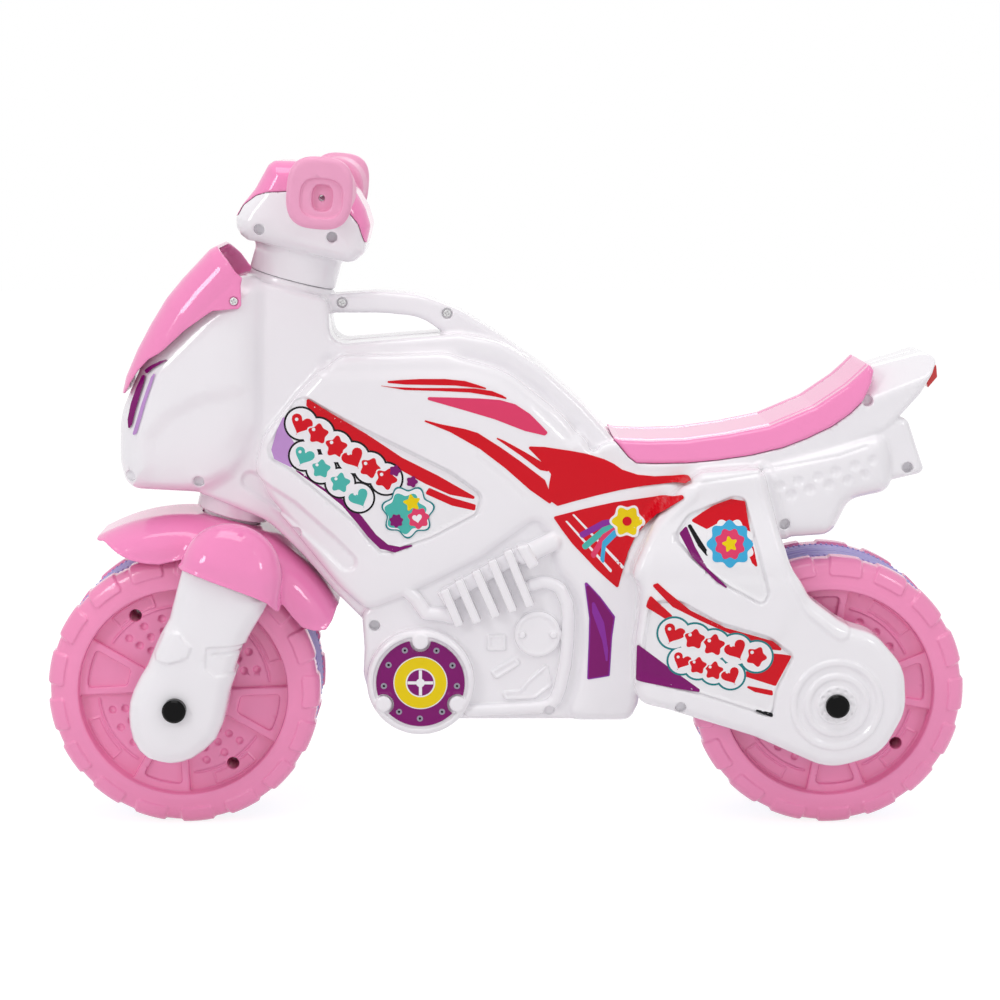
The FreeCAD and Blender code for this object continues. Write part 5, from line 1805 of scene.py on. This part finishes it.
@dataclass
class Wheel(Part):
    """A wide moulded wheel: two pink halves, a lavender band and screws."""

    half: float = 48.5
    lug_count: int = 17
    lug_share: float = 0.64
    lug_rise: float = 1.8
    lug_start: float = 93.0
    lug_slope: float = 1.6
    lip_radius: float = 88.0
    lip_width: float = 7.0
    face: float = 37.5
    band_half: float = 26.0
    pad_count: int = 4
    pad_angle: float = 33.0
    pad_start: float = 14.0
    pad_rise: float = 4.4
    pad_inner: float = 30.0
    pocket_inner: float = 44.0
    pocket_rise: float = 1.4
    ridge_circle: float = 67.0
    panel_circle: float = 74.5
    panel_half: float = 4.5
    panel_angle: float = 13.0
    hub_circle: float = 33.0
    dent_radius: float = 3.1
    tower_circle: float = 70.0
    tower_angles: Spot = (122.0, 302.0)
    screw_seat: float = 12.0
    well: float = 4.7
    tooth_count: int = 150
    tooth_place: float = 23.2
    step: float = 0.9

    @property
    def radius(self) -> float:
        """The wheel's radius, just short of its axle's height."""
        return self.stance.axle_height - 0.05

    def profile(self) -> Array:
        """Half of the wheel's section, radius against distance from the centre plane.

        Returns:
            The section's outline.
        """
        tread, barrel = self.radius - self.lug_rise, self.radius - 6.0
        inner, side = self.lip_radius - self.lip_width, self.half - self.lug_rise
        return rounded([(5.3, 0.15, 0), (barrel, 0.15, 0), (barrel, self.band_half, 0.5),
                        (tread, self.band_half, 0.5), (tread, side - 4.0, 12.0), (92.0, side + 0.4, 9.0),
                        (self.lip_radius - 2, self.half, 3.0), (inner + 0.5, self.half, 1.2),
                        (inner, self.face, 1.2), (21.0, self.face, 3.0), (17.0, 48.8, 2.0),
                        (5.3, 49.2, 0.5)], 6)

    def blank(self) -> Moulding:
        """The field of the left half, about its own axle.

        Returns:
            The field.
        """
        reach = self.radius + 2.5
        form = Moulding((-reach, -51, -reach), (reach, 2, reach), self.step)
        steps = np.arange(0, self.radius + 8, 0.3, dtype=np.float32)
        section = edge_distance(self.profile(), steps[:, None], np.abs(form.y)[None, :], True)
        radius = self.polar(form, 1, 0)[0][:, 0, :]
        for index in np.nonzero(form.y <= 0)[0]:
            form.values[:, index, :] = np.interp(radius, steps, section[:, index])
        self.lugs(form)
        self.pads(form)
        form.half()
        return form

    @staticmethod
    def polar(form: Moulding, count: int, start: float) -> tuple[Array, Array, float]:
        """Places of a field's grid by their distance and angle about the axle.

        Args:
            form: The field.
            count: How many times the wheel's pattern repeats.
            start: How far before the X axis it starts, in degrees.

        Returns:
            Distance from the axle, angle from the pattern's nearest middle in degrees, and its pitch.
        """
        pitch = 360 / count
        angle = np.degrees(np.arctan2(form.up, form.along))
        return np.hypot(form.along, form.up), (angle + start + pitch / 2) % pitch - pitch / 2, pitch

    def lugs(self, form: Moulding) -> None:
        """Adds the tread blocks on the wheel's shoulder.

        Args:
            form: The wheel's field.
        """
        radius, turn, pitch = self.polar(form, self.lug_count, 0)
        along = np.radians(np.abs(turn)) * radius - np.radians(pitch * self.lug_share / 2) * self.radius
        sunk = np.maximum(rim(along, self.lug_start - radius, 3), self.band_half + 0.8 - form.side)
        form.values -= self.lug_rise * smooth_step(0.5 - sunk / self.lug_slope)

    def pads(self, form: Moulding) -> None:
        """Adds the relief of the wheel's face: pads with pockets, ridges, panels and dots.

        Args:
            form: The wheel's field.
        """
        radius, turn, pitch = self.polar(form, self.pad_count, self.pad_start)
        face, outer = form.side - self.face, self.lip_radius - self.lip_width
        along = np.radians(np.abs(turn) - self.pad_angle / 2) * radius
        block = rim(np.maximum(along, self.pad_inner - radius), face - self.pad_rise, 1)
        form.merge(np.maximum(block, radius - outer - 2), 0.8)
        pocket = rim(along + 6, np.maximum(self.pocket_inner - radius, radius - outer + 6), 3)
        form.carve(rim(pocket, self.pocket_rise - face, 0.8), 0.8)
        ridge = np.maximum(np.abs(radius - self.ridge_circle) - 0.7, 4 - along)
        sweep = np.radians(np.abs(np.abs(turn) - pitch / 2) - self.panel_angle) * radius
        panel = np.abs(np.maximum(np.abs(radius - self.panel_circle) - self.panel_half, sweep)) - 0.6
        hub_ring = np.abs(radius - self.hub_circle) - 1.2
        for relief, rise, edge, blend in ((ridge, 1.2, 0.6, 0.8), (panel, 1.0, 0.5, 0.6), (hub_ring, 2.2, 1, 0.8)):
            form.merge(rim(relief, face - rise, edge), blend)
        for circle, swings in ((59.0, (-15.0, 0.0, 15.0)), (49.0, (-13.0, 0.0, 13.0)), (40.0, (-8.0, 8.0))):
            for swing in swings:
                for index in range(self.pad_count):
                    place = math.radians(pitch * (index + 0.5) - self.pad_start + swing)
                    form.dent((circle * math.cos(place), -self.face - 0.6, circle * math.sin(place)),
                              self.dent_radius, 0.5)

    def band(self) -> Moulding:
        """The field of the soft band between the two rows of lugs.

        Returns:
            The field.
        """
        reach = self.radius + 1.5
        form = Moulding((-reach, -28, -reach), (reach, 28, reach))
        radius = np.hypot(form.along, form.up)
        top = self.radius - 1.9
        groove = 1.4 * smooth_step(1 - np.abs(form.side) / 3.0)
        ridges = 0.7 * np.cos(form.side * (2 * math.pi / 8.6)) * (form.side < 22)
        form.values = (np.maximum(np.maximum(radius - top + groove - ridges * 0.5, self.radius - 5.4 - radius),
                                  form.side - self.band_half + 0.4)).astype(np.float32)
        return form

    def tooth(self) -> bpy.types.Object:
        """One small tooth of the band's milled edge.

        Returns:
            The tooth, which Places.build takes away again.
        """
        form = Moulding((-1.4, -2.2, -1.2), (1.4, 2.2, 1.2), 0.2)
        form.add(Shape(rounded([(-0.8, -0.8, 0.3), (0.8, -0.8, 0.3), (0.8, 0.8, 0.3), (-0.8, 0.8, 0.3)])), 1.7, 0.4)
        return form.skin(0.5).to_object("tooth_item")

    def build(self, name: str, x: float, turn: float, blank: Moulding, band: Skin) -> None:
        """Makes one wheel.

        Args:
            name: The wheel's name, such as front_wheel.
            x: Where its axle stands.
            turn: How far its face is turned, in degrees.
            blank: The half's field.
            band: The band's skin.
        """
        place = (x, 0.0, self.stance.axle_height)
        wells = blank.copy()
        for tower in self.tower_angles:
            wells.cut(Shape.disc(on_circle((0.0, 0.0), self.tower_circle, tower), self.well), self.screw_seat, 0.3, 0.8)
        for side, skin in (("right", blank.skin(0.012).mirrored()), ("left", wells.skin(0.012))):
            half = skin.turned(math.radians(turn)).shifted(*place).to_object(name + "_half_" + side)
            dress(half, WHEEL, name, name + "_" + side)
        node = name.replace("wheel", "tread_band")
        dress(band.shifted(*place).to_object(name + "_band"), BAND, name, node)
        spots = [on_circle((x, place[2]), self.tower_circle, tower + turn) for tower in self.tower_angles]
        self.screws.build(name + "_studs", [(u, -self.screw_seat, v, LEFT) for u, v in spots],
                          self.screw_seat + self.screws.grip, name, name + "_screws")
        self.teeth(name, x)

    def teeth(self, name: str, x: float) -> None:
        """Adds the milled edges of the band.

        Args:
            name: The wheel's name.
            x: Where its axle stands.
        """
        spots, turns = [], []
        reach = self.radius - 1.9
        for y in (-self.tooth_place, self.tooth_place):
            for index in range(self.tooth_count):
                angle = 2 * math.pi * index / self.tooth_count
                spots.append((x + reach * math.cos(angle), y, self.stance.axle_height + reach * math.sin(angle)))
                turns.append((0.0, -angle, 0.0))
        self.screws.places.build(name + "_band_teeth", self.tooth(), np.array(spots), np.array(turns), BAND, name)


# Prints on the frame, in pixels of the photograph

Print = tuple[Tone, float, Points]
RED, ROSE, PURPLE, VIOLET = Tone.PRINT_RED, Tone.PRINT_ROSE, Tone.PRINT_PURPLE, Tone.PRINT_VIOLET
STRIPE_PRINTS: list[Print] = [(RED, 1, [(378, 382), (400, 380), (420, 379), (445, 379), (465, 381), (478, 385),
        (492, 390), (478, 388), (455, 385.5), (430, 385), (405, 384.5)]),
    (RED, 1, [(372, 384.5), (392, 387), (420, 388), (450, 388), (475, 388.5), (492, 391), (502, 395), (510, 400),
        (495, 396.5), (470, 392.5), (440, 391), (405, 390)]),
    (ROSE, 1, [(417, 396.8), (450, 397.5), (480, 398.5), (500, 400), (515.3, 404.3), (530, 414), (540, 424),
        (548, 432.6), (545, 435.6), (525, 431), (494.4, 419.2), (460, 409)]),
    (RED, 1, [(413, 417), (440, 424), (465, 429), (478, 433), (500, 447), (520, 461), (545, 480), (553, 500),
        (550, 504), (530, 490), (505, 468), (480, 449), (450, 432)]),
    (RED, 1, [(491, 435), (505, 441), (525, 452), (545, 464), (551, 472), (540, 470), (520, 455)]),
    (RED, 1.5, [(526.5, 446.2), (545, 447), (569.2, 450.6), (587, 454), (604.6, 459.5), (614, 464), (622.3, 469.8),
        (638, 475), (654.8, 476.6), (675, 476), (688, 474.5), (690, 477.2), (684, 480.7), (665, 483.5), (643, 486),
        (620, 490), (598.7, 494.9), (577, 500.5), (557.4, 506), (548, 499), (549, 485), (551, 474), (540, 460)]),
    (RED, 1.5, [(553, 517), (583, 509), (613.5, 502.3), (654.8, 496.4), (680, 491), (682, 494), (668, 502.5),
        (655, 511), (647, 520), (638.5, 531), (634, 538), (628, 551), (624, 564), (618, 588.5), (607, 579),
        (595.8, 568.6), (584, 556), (572.2, 543.6), (562, 530)]),
    (Tone.PRINT_WHITE, 1.8, [(572, 514.5), (574, 514), (624, 566), (622.5, 569)]),
    (Tone.PRINT_WHITE, 1.8, [(565, 521), (567, 520.5), (612, 570), (611, 573)])]
PANEL_PRINTS: list[Print] = [(VIOLET, 0, [(584, 579), (600, 596), (615, 616), (612, 637), (609.6, 675.4),
        (587, 679.3), (588.5, 640), (589, 618)]),
    (PURPLE, 1, [(585.5, 581.9), (600, 598), (613.5, 617.3), (610.5, 636.5), (608.2, 674.3), (588.4, 677.8),
        (590, 640), (590.5, 618.8)]),
    (VIOLET, 1.5, [(591.5, 596), (604, 622), (608, 650), (607, 668), (602, 640), (592, 612)])]
HEADLAMP_PRINTS: list[Print] = [(PURPLE, 1, [(128, 431), (127, 420), (130, 404), (135, 389), (141, 376), (145, 375),
        (143, 384), (139, 397), (135, 412), (132, 424)]),
    (Tone.PRINT_LILAC, 0, [(132, 436), (137, 420), (142, 403), (147, 388), (151, 377), (156, 371), (152, 384),
        (146, 402), (141, 420), (137, 433)]),
    (PURPLE, 1.5, [(143, 371), (150, 366), (160, 361), (171, 358), (162, 363), (152, 369), (146, 374)])]
TANK_PRINTS: list[Print] = [(RED, 1, [(306.7, 398.3), (333.5, 414.7), (366.3, 434), (402, 457.9), (437.8, 475.8),
        (475, 497), (474, 499.5), (450, 495), (425, 484), (400, 470), (372, 452), (345, 437), (320, 420),
        (306, 406)]),
    (RED, 1, [(429, 488), (452, 498), (476, 505), (475, 511), (452, 506), (425, 494)]),
    (Tone.PRINT_LILAC, 1, [(285, 412), (277, 430), (271, 450), (274, 459), (292, 468), (300, 452), (292, 440),
        (285, 430)]),
    (PURPLE, 1, [(293, 469), (305, 478), (325, 492), (342, 506), (356, 522), (368, 537), (380, 549), (395, 552.5),
        (421, 543), (400, 547), (388, 545), (376, 535), (362, 517), (350, 504), (333, 494), (315, 483), (300, 472)])]
STRUT_PRINTS: list[Print] = [(PURPLE, 1, [(678.4, 531.8), (685.8, 524.4), (694, 545), (705, 564), (731.5, 589.3),
        (713.8, 577.5), (690.2, 553.9)]),
    (Tone.PRINT_BLACK, 1, [(686.7, 524.4), (690, 523), (700, 539), (707.9, 551), (705.5, 553.9), (697, 544)]),
    (RED, 1, [(690, 520), (702, 512), (714, 505), (731, 499), (745, 501), (748, 522), (752, 545), (756, 566),
        (750, 560), (740, 535), (722, 520), (706, 528)])]
ARM_PRINTS: list[Print] = [(RED, 1, [(651.8, 584.9), (657.7, 582.8), (666.6, 590.8), (690, 610), (725.6, 627.6),
        (772.8, 641), (784.6, 651.2), (766.9, 649.8), (702, 621.7), (672.5, 607)]),
    (RED, 1, [(647.4, 601), (650.4, 595), (672.5, 615.8), (669.5, 621.7), (646, 607)]),
    (RED, 1, [(761, 652.7), (792, 655.7), (775.7, 686.6), (743.3, 676.3)]),
    (RED, 1, [(741.8, 685.2), (772.8, 691), (773.4, 696.4), (755, 692.5)]),
    (PURPLE, 1, [(637, 643.9), (666.6, 666), (705, 693.4), (666.6, 686.6), (636.2, 680.7)]),
    (Tone.PRINT_BLACK, 1, [(743.3, 706.7), (772.8, 713.2), (772.8, 717.6)])]
TANK_ROWS = [(RED, Tone.PRINT_BLACK, 11.3, [(301, 424), (318, 434), (336, 447), (353, 458), (370, 468), (386, 479)]),
    (Tone.PRINT_TEAL, Tone.PRINT_BLACK, 10.3, [(304, 456), (321, 469), (340, 483), (359, 498)])]
ARM_ROWS = [(RED, Tone.PRINT_DEEP_TEAL, 11.2, [(674, 633.5), (694.6, 639.4), (713.8, 645.3), (735.9, 649.8),
    (756.6, 657)]), (RED, Tone.PRINT_DEEP_TEAL, 9.6, [(682, 661), (698, 666), (714, 671), (731, 676)])]


@dataclass
class Prints(Part):
    """The labels: stripes, patches and the generic pictures in the panels."""

    frame_part: Frame
    soft: float = 1.2

    def label(self, prints: list[Print], y: float, panel: Rows | None = None, margin: float = 2.2) -> Label:
        """Starts a label with its flat areas.

        Args:
            prints: Each area's tone, level and outline in pixels.
            y: The plane on which they were drawn.
            panel: Shares of a recess that a white ground fills.
            margin: How far the ground keeps from the recess's edge.

        Returns:
            The label.
        """
        label = Label(self.frame_part.face)
        if panel:
            label.add(Tone.PRINT_WHITE, 0, grown(self.stance.placed(panel), -margin))
        for tone, level, pixels in prints:
            label.add(tone, level, self.lens.outline([(u, v, self.soft) for u, v in pixels], y))
        return label

    @staticmethod
    def charm(index: int, place: Spot, radius: float) -> Array:
        """One soft shape of a row: a heart, a star or a bloom.

        Args:
            index: Its place in the row, which picks the shape and its turn.
            place: Its centre.
            radius: The room that it has.

        Returns:
            The shape's loop.
        """
        turn = -25.0 + 17.0 * (index % 4)
        if index % 3 == 0:
            return heart(place, radius * 0.8, turn)
        if index % 3 == 1:
            return star(place, radius * 0.9, turn, 5, 0.62, 0.25)
        return petals(place, radius * 0.82, 5, 0.3, turn)

    def charms(self, label: Label, rows: list, y: float) -> None:
        """Rows of soft shapes on one joined white ground with a dark border.

        Args:
            label: The label.
            rows: Tone, border tone, radius and pixels of each row.
            y: The plane on which they were drawn.
        """
        for step, (tone, border, radius, pixels) in enumerate(rows):
            for index, place in enumerate(self.lens.on_plane(pixels, y)):
                shade = 0.1 * index + 0.05 * step
                shape = self.charm(index, place, radius)
                ground = ring(place, radius + 0.6, steps=30)
                label.add(border, 2 + shade, grown(ground, 1.5))
                label.add(Tone.PRINT_WHITE, 3 + shade, ground)
                odd = index % 2
                label.add(Tone.PRINT_WHITE, 4 + odd, grown(shape, 0.5))
                label.add(tone, 4.5 + odd, grown(shape, -0.5))
                glint = place + (-0.3 * radius, 0.3 * radius)
                label.add(Tone.PRINT_WHITE, 6, ring(glint, radius * 0.12, steps=10))

    def stripes(self) -> Label:
        """The racing stripes and patches, with a bloom and ribbons on the lower patch.

        Returns:
            The label.
        """
        label = self.label(STRIPE_PRINTS, -54)
        centre = self.pixel_place((627, 521), -54)
        for index, (tone, end) in enumerate(((VIOLET, (580, 536)), (Tone.PRINT_TEAL, (583, 548)),
                                             (ROSE, (592, 557)), (Tone.PRINT_BLUE, (602, 562)))):
            path = self.lens.on_plane([(626 - 3 * index, 519 + 4 * index), (604, 523 + 7 * index), end], -54)
            side = np.array([1.4, -2.0])
            bend = np.concatenate([path + side, (path - side)[::-1]])
            label.add(tone, 2 + index * 0.3, rounded([(x, z, 2.0) for x, z in bend]))
        label.add(Tone.PRINT_WHITE, 6, petals(centre, 13.6, 6, 0.2))
        label.add(Tone.PRINT_YELLOW, 7, petals(centre, 11.8, 6, 0.26))
        label.add(RED, 8, ring(centre, 3.6, steps=20))
        return label

    def tank_panel(self) -> Label:
        """The long panel on the tank: bands, two rows of shapes and a cloud.

        Returns:
            The label.
        """
        label = self.label(TANK_PRINTS, -54, RECESS_FRONT_SHARES)
        self.charms(label, TANK_ROWS, -54)
        for index, pixel in enumerate(((395, 471), (412, 482))):
            label.add(PURPLE, 6 + index, petals(self.pixel_place(pixel, -54), 4.5, 5, 0.25))
        cloud = self.pixel_place((408, 512), -54)
        for level, tone, place, radius in (
                (6, Tone.PRINT_DEEP_TEAL, (0, 0), 21.0), (6.5, Tone.PRINT_WHITE, (0, 0), 19.6),
                (7, Tone.PRINT_TEAL, (-2, -1), 16.5), (7.5, ROSE, (8, -5), 8.5), (8, PURPLE, (-9, -7), 5.5)):
            label.add(tone, level, petals(cloud + place, radius, 7, 0.2, 12))
        label.add(Tone.PRINT_YELLOW, 8, star(cloud + (3, 7), 8.0, 10))
        label.add(Tone.PRINT_WHITE, 8.5, heart(cloud + (7, -5), 3.8, 10))
        return label

    def strut_panel(self) -> Label:
        """The upper panel of the side: slanted bands behind a round bloom.

        Returns:
            The label.
        """
        label = self.label(STRUT_PRINTS, -72, RECESS_STRUT_SHARES)
        centre = self.pixel_place((728.5, 542), -72)
        for level, tone, radius in ((2, Tone.PRINT_WHITE, 19.0), (3, Tone.PRINT_BLUE, 17.6), (4, ROSE, 11.8)):
            label.add(tone, level, petals(centre, radius, 8, 0.18, 22.5 * (level - 3)))
        label.add(Tone.PRINT_YELLOW, 5, star(centre, 7.0, 12))
        return label

    def arm_panel(self) -> Label:
        """The swingarm's panel: bands, dark wedges and a double row of shapes.

        Returns:
            The label.
        """
        label = self.label(ARM_PRINTS, -86, RECESS_ARM_SHARES, 2.0)
        self.charms(label, ARM_ROWS, -86)
        return label

    def clutch(self) -> Label:
        """The round print on the clutch cover: a yellow ring in a notched purple one.

        Returns:
            The label.
        """
        label = Label(self.frame_part.face)
        centre = self.frame_part.clutch
        wide = []
        for start in CLUTCH_BOSS_ANGLES:
            notch = on_circle(centre, self.frame_part.boss_circle, start + 120)
            wide += list(ring(centre, 34.3, start + 15, start + 105, 26))
            wide += list(ring(notch, 8.0, start + 390, start + 210, 14))
        label.add(PURPLE, 1, np.array(wide), ring(centre, 21.0))
        label.add(Tone.PRINT_WHITE, 0.5, ring(centre, 20.9))
        label.add(Tone.PRINT_YELLOW, 1, ring(centre, 20.2), ring(centre, 11.4))
        label.add(PURPLE, 1, ring(centre, 10.3))
        for level, turn in ((2, 0.0), (2.5, math.pi / 2)):
            arm = np.array([math.cos(turn), math.sin(turn)])
            across = np.array([-arm[1], arm[0]]) * 1.2
            label.add(Tone.PRINT_WHITE, level, centre + np.stack([arm * 10 + across, -arm * 10 + across,
                                                                  -arm * 10 - across, arm * 10 - across]))
        label.add(Tone.PRINT_WHITE, 3, ring(centre, 3.4, steps=24))
        for angle in (115, 64, 150, 29, 185, -5, 234, 306, 269):
            spot = on_circle(centre, 28.4, angle)
            label.add(Tone.PRINT_GREY, 2, ring(spot, 2.4, steps=16))
            label.add(Tone.PRINT_BLACK, 3, ring(spot, 1.0, steps=10))
        return label

    def build(self) -> None:
        """Makes every label on both sides."""
        made = {"stripes": self.stripes(), "front_panel": self.tank_panel(), "strut_panel": self.strut_panel(),
                "arm_panel": self.arm_panel(), "clutch": self.clutch(),
                "side_panel": self.label(PANEL_PRINTS, -52), "headlamp": self.label(HEADLAMP_PRINTS, -50)}
        for name, label in made.items():
            for side, word in ((LEFT, "left"), (RIGHT, "right")):
                label.build(name + "_print_" + word, side, self.body)


# Studio

@dataclass
class Studio:
    """A white floor, soft lamps and the camera."""

    lens: Lens
    floor_half: float = 6.0
    world_level: float = 0.62

    def lamp(self, name: str, place: Spot, target: Spot, size: Spot, power: float) -> None:
        """Adds a soft box.

        Args:
            name: Its name.
            place: Where it stands, in metres.
            target: Where it points.
            size: Its width and height.
            power: Its power in watts.
        """
        data = bpy.data.lights.new(name, "AREA")
        data.shape = "RECTANGLE"
        data.size, data.size_y = size
        data.energy = power
        made = linked(name, data)
        back = np.array(place) - np.array(target)
        made.location = place
        made.rotation_euler = (math.atan2(math.hypot(back[0], back[1]), back[2]), 0,
                               math.atan2(back[1], back[0]) + math.pi / 2)

    def world(self) -> None:
        """Makes the white surroundings."""
        world = bpy.data.worlds.new("studio")
        world.use_nodes = True
        bpy.context.scene.world = world
        tree = world.node_tree
        plain, seen = tree.nodes["Background"], tree.nodes.new("ShaderNodeBackground")
        settle(plain, {"Color": (1.0, 0.985, 1.0, 1), "Strength": self.world_level})
        settle(seen, {"Color": (1, 1, 1, 1), "Strength": 1.0})
        self.swap(tree, plain.outputs[0], seen.outputs[0], tree.nodes["World Output"].inputs["Surface"])

    @staticmethod
    def swap(tree: bpy.types.NodeTree, plain: bpy.types.NodeSocket, seen: bpy.types.NodeSocket,
             output: bpy.types.NodeSocket) -> None:
        """Shows one shader to the camera and to mirrors, and another to the rest.

        Args:
            tree: The nodes.
            plain: The shader that lights the object.
            seen: The shader that is seen.
            output: Where the result goes.
        """
        path, mix = tree.nodes.new("ShaderNodeLightPath"), tree.nodes.new("ShaderNodeMixShader")
        total = path.outputs["Is Camera Ray"]
        for ray in ("Is Glossy Ray", "Is Transmission Ray"):
            more = tree.nodes.new("ShaderNodeMath")
            more.operation = "ADD"
            more.use_clamp = True
            wire(tree, (total, more.inputs[0]), (path.outputs[ray], more.inputs[1]))
            total = more.outputs[0]
        wire(tree, (total, mix.inputs[0]), (plain, mix.inputs[1]), (seen, mix.inputs[2]), (mix.outputs[0], output))

    def floor(self) -> None:
        """Makes the floor, white to the camera but for the object's shadow."""
        h = self.floor_half
        mesh = bpy.data.meshes.new("floor")
        mesh.from_pydata([(-h, -h, 0), (h, -h, 0), (h, h, 0), (-h, h, 0)], [], [(0, 1, 2, 3)])
        floor = linked("floor", mesh)
        material = bpy.data.materials.new("floor")
        material.use_nodes = True
        tree = material.node_tree
        diffuse, faint = (tree.nodes.new("ShaderNodeBsdfDiffuse") for _ in range(2))
        glow, total = tree.nodes.new("ShaderNodeEmission"), tree.nodes.new("ShaderNodeAddShader")
        settle(diffuse, {"Color": (0.86, 0.86, 0.87, 1)})
        settle(faint, {"Color": (0.30, 0.29, 0.30, 1)})
        settle(glow, {"Strength": 0.86})
        wire(tree, (faint.outputs[0], total.inputs[0]), (glow.outputs[0], total.inputs[1]))
        self.swap(tree, diffuse.outputs[0], total.outputs[0], tree.nodes["Material Output"].inputs["Surface"])
        mesh.materials.append(material)

    def build(self) -> None:
        """Makes the camera, the surroundings, the floor and the lamps."""
        bpy.context.scene.view_settings.view_transform = "Standard"
        self.lens.build()
        self.world()
        self.floor()
        self.lamp("top_box", (-0.2, -0.5, 2.2), (0, 0, 0.3), (1.6, 1.0), 11.2)
        self.lamp("left_box", (-1.4, -1.5, 1.2), (-0.1, 0, 0.3), (0.45, 0.6), 6.5)
        self.lamp("right_box", (1.5, -1.4, 1.4), (0.1, 0, 0.3), (0.35, 0.5), 3.9)
        self.lamp("rear_box", (0.4, 1.8, 1.5), (0.0, 0, 0.3), (0.8, 0.8), 4.3)


HIDDEN = {"rear_axle": ZINC, "rear_washers": ZINC, "front_axle": ZINC, "front_washers": ZINC,
          "stem_bolt": ZINC, "stem_nut": ZINC, "rear_axle_caps": CAP, "front_axle_caps": CAP}


def finish_packed_nodes() -> None:
    """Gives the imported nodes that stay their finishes."""
    for name, finish in HIDDEN.items():
        node = frame["nodes"][name]
        node.data.materials.clear()
        node.data.materials.append(finish.material())


def main() -> None:
    """Builds every piece in order."""
    logging.basicConfig(level=logging.INFO, format="%(message)s")
    stance = Stance.of_joints(frame["joints"])
    lens = Lens()
    Studio(lens).build()
    screws = ScrewMaker(stance, Places())
    seat = Seat(stance, lens, screws)
    shell = Frame(stance, lens, screws, seat)
    shell.build()
    Prints(stance, lens, screws, shell).build()
    seat.build()
    Windshield(stance, lens, screws).build()
    SteeringHead(stance, lens, screws).build()
    wheel = Wheel(stance, lens, screws)
    blank, band = wheel.blank(), wheel.band().skin(0.02)
    wheel.build("front_wheel", -stance.wheelbase / 2, 0.0, blank, band)
    wheel.build("rear_wheel", stance.wheelbase / 2, 20.0, blank, band)
    finish_packed_nodes()


if __name__ == "__main__":
    main()
